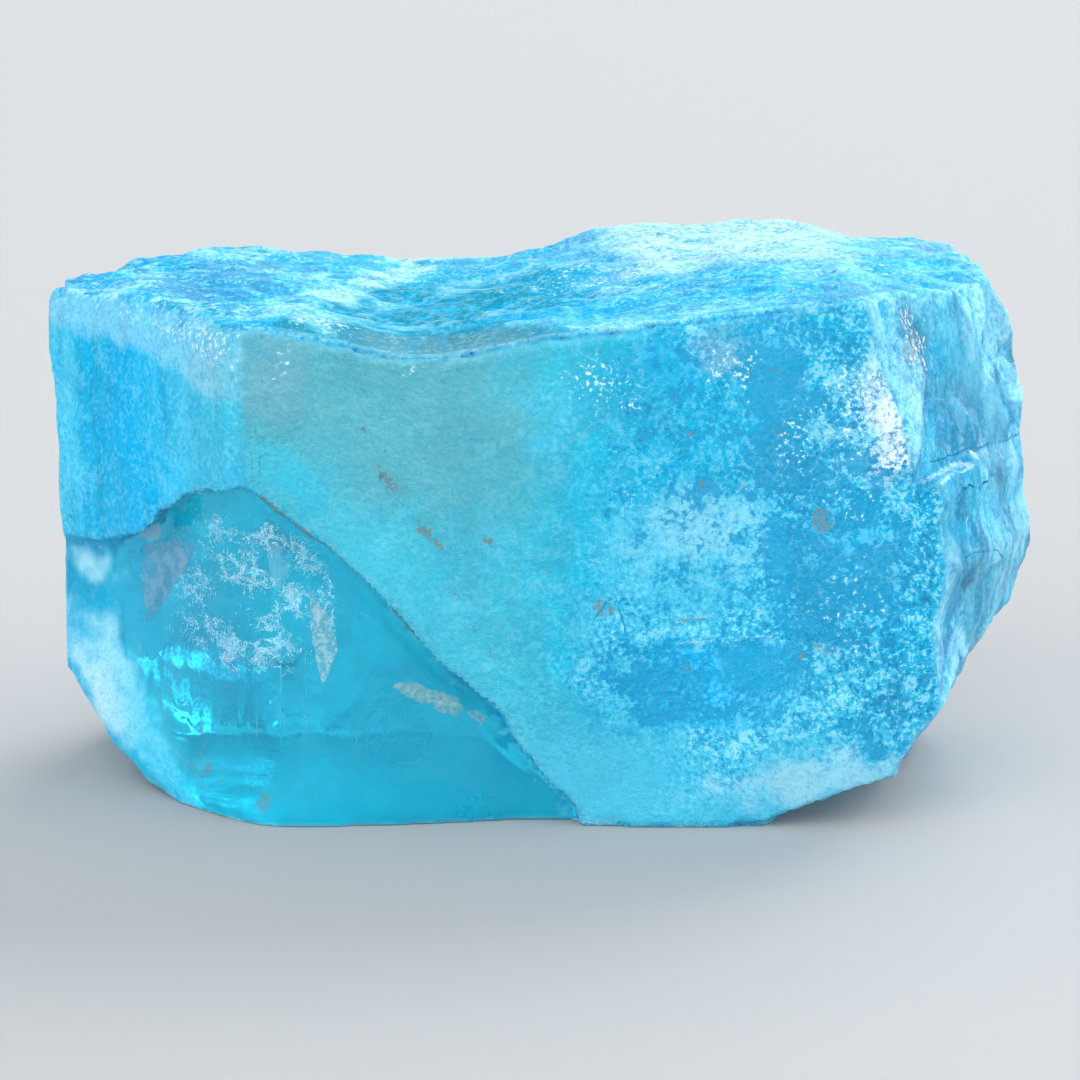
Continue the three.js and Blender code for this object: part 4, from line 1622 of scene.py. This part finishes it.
@dataclass
class Veil(Sealed):
    """The healed fracture: a ring-shaped net of tiny bright flecks, with an arc over it.

    The ring, the arc over it and the strip at its right are each given by how far out they lie and
    how wide they are, in half sizes of the ring.
    """

    flecks: int = 9000
    tries: int = 270000
    centre: Pair = (-11.4, 7.9)
    half: Pair = (2.55, 2.1)
    ring: Pair = (0.70, 0.30)
    arc: Pair = (1.12, 0.16)
    strip: Pair = (1.28, 0.10)
    mesh_size: float = 0.50
    strand_width: float = 0.13
    bend: float = 0.25
    slope_step: float = 0.02
    fleck_length: Pair = (0.04, 0.20)
    fleck_width: Pair = (0.008, 0.020)
    fleck_parts: int = 3

    def build(self) -> None:
        """Scatters the flecks along the strands of the net."""
        rng = np.random.default_rng(Seed.VEIL_FLECKS)
        across = rng.uniform(-1.4, 1.45, self.tries)
        up = rng.uniform(-1.15, 1.75, self.tries)
        place = np.column_stack([across * self.half[0], np.zeros(self.tries), up * self.half[1]])
        strand = self._strand(place)
        near = 0.92 * np.exp(-((strand / self.strand_width) ** 2)) + 0.10
        chosen = rng.random(self.tries) < self._density(across, up) * near
        place, strand = place[chosen][: self.flecks], strand[chosen][: self.flecks]
        slope_x = self._strand(place + (self.slope_step, 0.0, 0.0)) - strand
        slope_z = self._strand(place + (0.0, 0.0, self.slope_step)) - strand
        lie = np.arctan2(slope_z, slope_x) + 0.5 * math.pi + rng.normal(0.0, 0.35, len(place))
        points: list[Vector] = []
        faces: list[tuple[int, ...]] = []
        for (x, _, z), turn in zip(place, lie):
            x, z = x + self.centre[0], z + self.centre[1]
            depth = 0.8 + 0.35 * rng.random() + 0.3 * math.sin(1.3 * x) + 0.2 * math.sin(2.1 * z)
            self._add_fleck(points, faces, self.behind(x, z, depth), float(turn), rng)
        # Lit and shaded copies of the flecks: the bright ones glow as painted light, the dim teal ones
        # stand for flecks in shade.
        bright = SealedFinish("veil_pearl", (0.82, 0.93, 1.0), (0.86, 0.60, 0.66), 0.32, glow=0.5)
        dim = SealedFinish("veil_shade", (0.30, 0.62, 0.76), (0.55, 0.52, 0.60), 0.45, glow=0.3)
        split = self.fleck_parts * (len(faces) // (2 * self.fleck_parts))
        self.make("veil_bright", points, faces[:split], bright)
        self.make("veil_dim", points, faces[split:], dim)

    def _strand(self, place: Array) -> Array:
        """How far places are from the nearest strand of the net.

        Args:
            place: Places from the middle of the ring, one row each, in millimetres.

        Returns:
            Distances, in meshes of the net.
        """
        shift_x = Grain(Seed.VEIL_BEND_X).waves(place, 0.8, 2)
        shift_z = Grain(Seed.VEIL_BEND_Z).waves(place, 0.8, 2)
        bent = place + self.bend * np.column_stack([shift_x, np.zeros(len(place)), shift_z])
        return Grain(Seed.VEIL_NET).facets(bent * (1.0, 0.0, 1.0), self.mesh_size)[1]

    def _density(self, u: Array, v: Array) -> Array:
        """How thickly the flecks lie on the net.

        Args:
            u: Places from left to right, in half widths of the ring.
            v: Heights, in half heights of the ring.

        Returns:
            Numbers from 0 to 1.
        """
        flat = np.column_stack([2.5 * u, 0.0 * u, 2.1 * v])
        patchy = smoothstep(Grain(Seed.VEIL_PATCHES).waves(flat, 1.0, 2), -0.45, 0.35)
        ring = self._bell(np.hypot(u, v), self.ring) * np.clip(0.62 + 0.42 * u - 0.20 * v, 0.0, 1.0)
        arc = 0.55 * self._bell(np.hypot(u - 0.15, 0.85 * (v - 0.15)), self.arc) * (v > 0.35)
        strip = 0.5 * self._bell(u, self.strip) * band(v, -0.3, 0.7, 0.2)
        return np.clip(np.maximum(np.maximum(ring, arc), strip) * patchy, 0.0, 1.0)

    @staticmethod
    def _bell(value: Array, shape: Pair) -> Array:
        """A bell curve's height at these values, where the shape is its middle and its width."""
        return np.exp(-(((value - shape[0]) / shape[1]) ** 2))

    def _add_fleck(
        self, points: list[Vector], faces: list[tuple[int, ...]], at: Vector, turn: float,
        rng: np.random.Generator,
    ) -> None:
        """Adds one small crumpled sliver.

        Args:
            points: The net's points so far.
            faces: The net's faces so far.
            at: The middle of the sliver.
            turn: The angle that it lies at.
            rng: The draws.
        """
        length = self.fleck_length[0] + self.fleck_length[1] * rng.random() ** 2.4
        width = self.fleck_width[0] + self.fleck_width[1] * rng.random() ** 2.0
        way = Vector((math.cos(turn), rng.normal(0.0, 0.3), math.sin(turn))).normalized()
        over = Vector((-way.z, rng.normal(0.0, 0.6), way.x)).normalized()
        first = len(points)
        bend = rng.normal(0.0, 0.5)
        for step in range(self.fleck_parts + 1):
            t = step / self.fleck_parts - 0.5
            middle = at + way * (length * t) + over * (bend * length * (t * t))
            half = width * (1.0 - (1.7 * t) ** 2)
            points.append(middle + over * half * rng.uniform(0.5, 1.5))
            points.append(middle - over * half * rng.uniform(0.5, 1.5))
        for k in range(first, first + 2 * self.fleck_parts, 2):
            faces.append((k, k + 1, k + 3, k + 2))


@dataclass
class Shards(Sealed):
    """Flat shards: a lilac-grey one at the left of the veil, and a rosy upright one at its right."""

    grey: tuple[Pair, ...] = (
        (-15.3, 9.7), (-14.2, 10.1), (-13.1, 10.2), (-13.4, 9.4), (-14.0, 8.6), (-14.5, 7.6),
        (-15.3, 6.7), (-15.4, 7.4), (-15.5, 8.1), (-15.5, 9.2),
    )
    rosy: tuple[Pair, ...] = (
        (-8.75, 9.0), (-8.4, 8.3), (-8.1, 7.9), (-7.7, 6.8), (-7.9, 5.8), (-8.3, 5.3), (-8.5, 6.2),
        (-8.7, 7.4),
    )
    rounds: int = 3
    crumple: float = 0.26
    ragged: float = 0.10

    def build(self) -> None:
        """Makes the two shards."""
        grey = SealedFinish("shard_lilac", (0.14, 0.20, 0.34), (0.40, 0.32, 0.42), 0.5, 0.6, 0.4)
        rosy = SealedFinish("shard_rosy", (0.30, 0.44, 0.52), (0.92, 0.72, 0.72), 0.22, 0.55)
        self._plate("shard_lilac", self.grey, 0.30, grey, Seed.SHARD_LILAC)
        self._plate("shard_rosy", self.rosy, 0.8, rosy, Seed.SHARD_ROSY)

    def _plate(
        self, name: str, outline: Sequence[Pair], depth: float, finish: SealedFinish, seed: int
    ) -> None:
        """Makes a thin crumpled plate inside an outline.

        Args:
            name: The piece's name.
            outline: The outline from left to right and up, in millimetres.
            depth: How far behind the skin it lies, in millimetres.
            finish: Its finish.
            seed: The seed of its crumpling.
        """
        work = bmesh.new()
        work.faces.new([work.verts.new((x, 0.0, z)) for x, z in outline])
        bmesh.ops.triangulate(work, faces=work.faces)
        for _ in range(self.rounds):
            bmesh.ops.subdivide_edges(work, edges=work.edges, cuts=1, use_grid_fill=True)
        bmesh.ops.triangulate(work, faces=work.faces)
        at = np.array([v.co for v in work.verts])
        lifts = self.crumple * Grain(seed).waves(at, 0.8, 3)
        slips = self.ragged * Grain(seed + 5).waves(at, 0.35, 2)
        points = []
        for vertex, lift, slip in zip(work.verts, lifts, slips):
            edge = slip if vertex.is_boundary else 0.0
            points.append(self.behind(vertex.co.x + edge, vertex.co.z - 0.7 * edge, depth + lift))
        self.make_from(name, work, points, finish)


@dataclass
class Pebbles(Sealed):
    """Rounded inclusions: tan grains by the front face's edge, and a rosy one on the ledge."""

    tan: tuple[tuple[Pair, Point, float], ...] = (
        ((-4.75, 4.95), (0.72, 0.3, 0.36), -20.0),
        ((-3.65, 4.5), (0.66, 0.3, 0.36), -30.0),
        ((-2.45, 4.0), (0.36, 0.2, 0.2), -30.0),
    )
    rose: tuple[Pair, Point, float] = ((-15.0, 10.4), (0.5, 0.35, 0.52), 0.0)
    tan_depth: float = 0.12
    rose_depth: float = 0.15

    def build(self) -> None:
        """Makes the grains."""
        tan = SealedFinish(
            "grain_tan", (0.32, 0.26, 0.20), (0.92, 0.62, 0.42), 0.16, share=0.55, glow=0.25
        )
        rose = SealedFinish("grain_rose", (0.40, 0.52, 0.62), (0.55, 0.50, 0.55), 0.4)
        for order, lie in enumerate(self.tan):
            seed = Seed.TAN_GRAINS + order
            self._grain(f"grain_tan_{order + 1}", *lie, self.tan_depth, tan, seed)
        self._grain("grain_rose", *self.rose, self.rose_depth, rose, Seed.ROSE_GRAIN)

    def _grain(
        self, name: str, at: Pair, half: Point, turn_deg: float, depth: float,
        finish: SealedFinish, seed: int,
    ) -> None:
        """Makes one lumpy grain.

        Args:
            name: The piece's name.
            at: Its place from left to right and up, in millimetres.
            half: Its half sizes along x, y and z, in millimetres.
            turn_deg: How far it leans.
            depth: How far behind the skin its near side is, in millimetres.
            finish: Its finish.
            seed: The seed of its lumps.
        """
        work = bmesh.new()
        bmesh.ops.create_icosphere(work, subdivisions=4, radius=1.0)
        ball = np.array([v.co for v in work.verts])
        lumps = 0.8 + 0.25 * Grain(seed).waves(ball, 0.7, 3) + 0.35 * Grain(seed).creases(ball, 0.7, 2)
        middle = self.behind(*at, depth + half[1])
        turn = math.radians(turn_deg)
        points = []
        for place, swell in zip(ball, lumps):
            x, y, z = (float(c * h * swell) for c, h in zip(place, half))
            across = x * math.cos(turn) - z * math.sin(turn)
            points.append(middle + Vector((across, y, x * math.sin(turn) + z * math.cos(turn))))
        self.make_from(name, work, points, finish)


@dataclass
class Tubes(Sealed):
    """Fine growth tubes that run straight up inside the clear window.

    Each run is a tube's place from left to right, its two ends' heights, and its depth.
    """

    runs: tuple[tuple[float, float, float, float], ...] = (
        (-14.3, 1.6, 7.0, 0.6), (-14.1, 2.4, 5.0, 1.0), (-12.1, 1.7, 4.4, 0.9), (-9.8, 2.6, 7.2, 1.2),
        (-9.0, 1.5, 5.2, 0.9), (-8.9, 2.4, 6.8, 1.3), (-10.6, 3.0, 4.6, 1.1), (-7.0, 2.2, 3.8, 1.0),
    )
    radius: float = 0.022
    sides: int = 6
    steps: int = 24

    def build(self) -> None:
        """Makes every tube."""
        finish = SealedFinish("tube_pale", (0.16, 0.62, 0.82), (0.40, 0.74, 0.88), 0.9, glow=0.10)
        rng = np.random.default_rng(Seed.TUBE_WIDTHS)
        points: list[Vector] = []
        faces: list[tuple[int, ...]] = []
        for x, low, high, depth in self.runs:
            first = len(points)
            for step in range(self.steps + 1):
                t = step / self.steps
                taper = math.sin(math.pi * min(max(t, 0.04), 0.96)) ** 0.5
                thin = self.radius * taper * rng.uniform(0.7, 1.2)
                middle = self.behind(x, low + (high - low) * t, depth)
                for side in range(self.sides):
                    turn = 2.0 * math.pi * side / self.sides
                    points.append(middle + Vector((math.cos(turn), math.sin(turn), 0.0)) * thin)
            for ring in range(first, first + self.steps * self.sides, self.sides):
                for side in range(self.sides):
                    a, b = ring + side, ring + (side + 1) % self.sides
                    faces.append((a, b, b + self.sides, a + self.sides))
        self.make("growth_tubes", points, faces, finish)


# ---------------------------------------------------------------- the studio


@dataclass(frozen=True)
class Lamp:
    """A broad, soft light so far off that it falls evenly.

    Attributes:
        name: The lamp's name.
        source: A point that the light comes from the direction of.
        spread_deg: How wide the light source looks from the crystal.
        strength: Its strength.
    """

    name: str
    source: Point
    spread_deg: float
    strength: float

    def build(self) -> None:
        """Makes the lamp."""
        data = bpy.data.lights.new(self.name, "SUN")
        data.angle = math.radians(self.spread_deg)
        data.energy = self.strength
        lamp = bpy.data.objects.new(self.name, data)
        lamp.location = Vector(self.source) * MM
        lamp.rotation_mode = "QUATERNION"
        lamp.rotation_quaternion = (-Vector(self.source)).to_track_quat("-Z", "Y")
        bpy.context.scene.collection.objects.link(lamp)


@dataclass
class Studio:
    """A plain pale floor, soft light from all round, and the camera."""

    target: Point = (-0.07, -0.35, 9.25)
    distance: float = 120.0
    elevation_deg: float = 11.0
    lens: float = 100.0
    sensor: float = 36.0
    nearest: float = 1.0
    farthest: float = 20000.0
    floor_radius: float = 6000.0
    floor_gap: float = 0.02
    floor_sides: int = 96
    horizon: float = 0.76
    zenith: float = 0.80
    sky_rise: Pair = (0.05, 0.75)
    sky_colour: Colour = (0.93, 0.97, 1.0)
    lamps: tuple[Lamp, ...] = (
        Lamp("key_light", (50.0, 75.0, 58.0), 45.0, 2.4),
        Lamp("fill_light", (-35.0, -85.0, 50.0), 60.0, 1.65),
        Lamp("side_light", (95.0, -30.0, 35.0), 50.0, 1.3),
    )
    bounces: tuple[tuple[str, int], ...] = (
        ("max_bounces", 7), ("diffuse_bounces", 2), ("glossy_bounces", 3),
        ("transmission_bounces", 7), ("volume_bounces", 0),
    )

    def build(self) -> None:
        """Makes the floor, the light and the camera."""
        self._make_camera()
        self._make_floor()
        self._make_sky()
        for lamp in self.lamps:
            lamp.build()
        bpy.context.scene.view_settings.view_transform = "Standard"
        for name, count in self.bounces:
            setattr(bpy.context.scene.cycles, name, count)
        LOG.info("studio: floor, sky, %d lights and camera", len(self.lamps))

    def _make_camera(self) -> None:
        """Makes the camera."""
        data = bpy.data.cameras.new("camera")
        data.lens = self.lens
        data.sensor_width = self.sensor
        data.clip_start, data.clip_end = self.nearest * MM, self.farthest * MM
        camera = bpy.data.objects.new("camera", data)
        bpy.context.scene.collection.objects.link(camera)
        lift = math.radians(self.elevation_deg)
        back = Vector((0.0, -math.cos(lift), math.sin(lift)))
        camera.location = (Vector(self.target) + back * self.distance) * MM
        camera.rotation_mode = "QUATERNION"
        camera.rotation_quaternion = (-back).to_track_quat("-Z", "Y")
        bpy.context.scene.camera = camera

    def _make_floor(self) -> None:
        """Makes a wide round card for the crystal to stand on."""
        work = bmesh.new()
        radius = self.floor_radius * MM
        bmesh.ops.create_circle(work, cap_ends=True, radius=radius, segments=self.floor_sides)
        mesh = bpy.data.meshes.new("studio_floor")
        work.to_mesh(mesh)
        work.free()
        mesh.materials.append(PaperFinish().material())
        floor = bpy.data.objects.new("studio_floor", mesh)
        floor.location = (0.0, 0.0, -self.floor_gap * MM)
        bpy.context.scene.collection.objects.link(floor)

    def _make_sky(self) -> None:
        """Makes a pale light from all round, fainter towards the horizon."""
        world = bpy.data.worlds.new("studio_sky")
        world.use_nodes = True
        nodes, links = world.node_tree.nodes, world.node_tree.links
        background = nodes["Background"]
        place = nodes.new("ShaderNodeTexCoord")
        parts = nodes.new("ShaderNodeSeparateXYZ")
        height = nodes.new("ShaderNodeMapRange")
        ends = ("From Min", "From Max", "To Min", "To Max")
        for name, value in zip(ends, (*self.sky_rise, self.horizon, self.zenith)):
            height.inputs[name].default_value = value
        links.new(place.outputs["Generated"], parts.inputs[0])
        links.new(parts.outputs["Z"], height.inputs["Value"])
        links.new(height.outputs[0], background.inputs["Strength"])
        background.inputs["Color"].default_value = (*self.sky_colour, 1.0)
        bpy.context.scene.world = world


def write_sizes() -> None:
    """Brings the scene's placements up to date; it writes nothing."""
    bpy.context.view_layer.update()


def main() -> None:
    """Builds the studio and the crystal."""
    logging.basicConfig(level=logging.INFO, format="%(name)s: %(message)s")
    Studio().build()
    body = CrystalBody()
    body.build()
    body.dress(BerylFinish())
    for sealed in (Veil(), Shards(), Pebbles(), Tubes()):
        sealed.build()
    write_sizes()


if __name__ == "__main__":
    main()
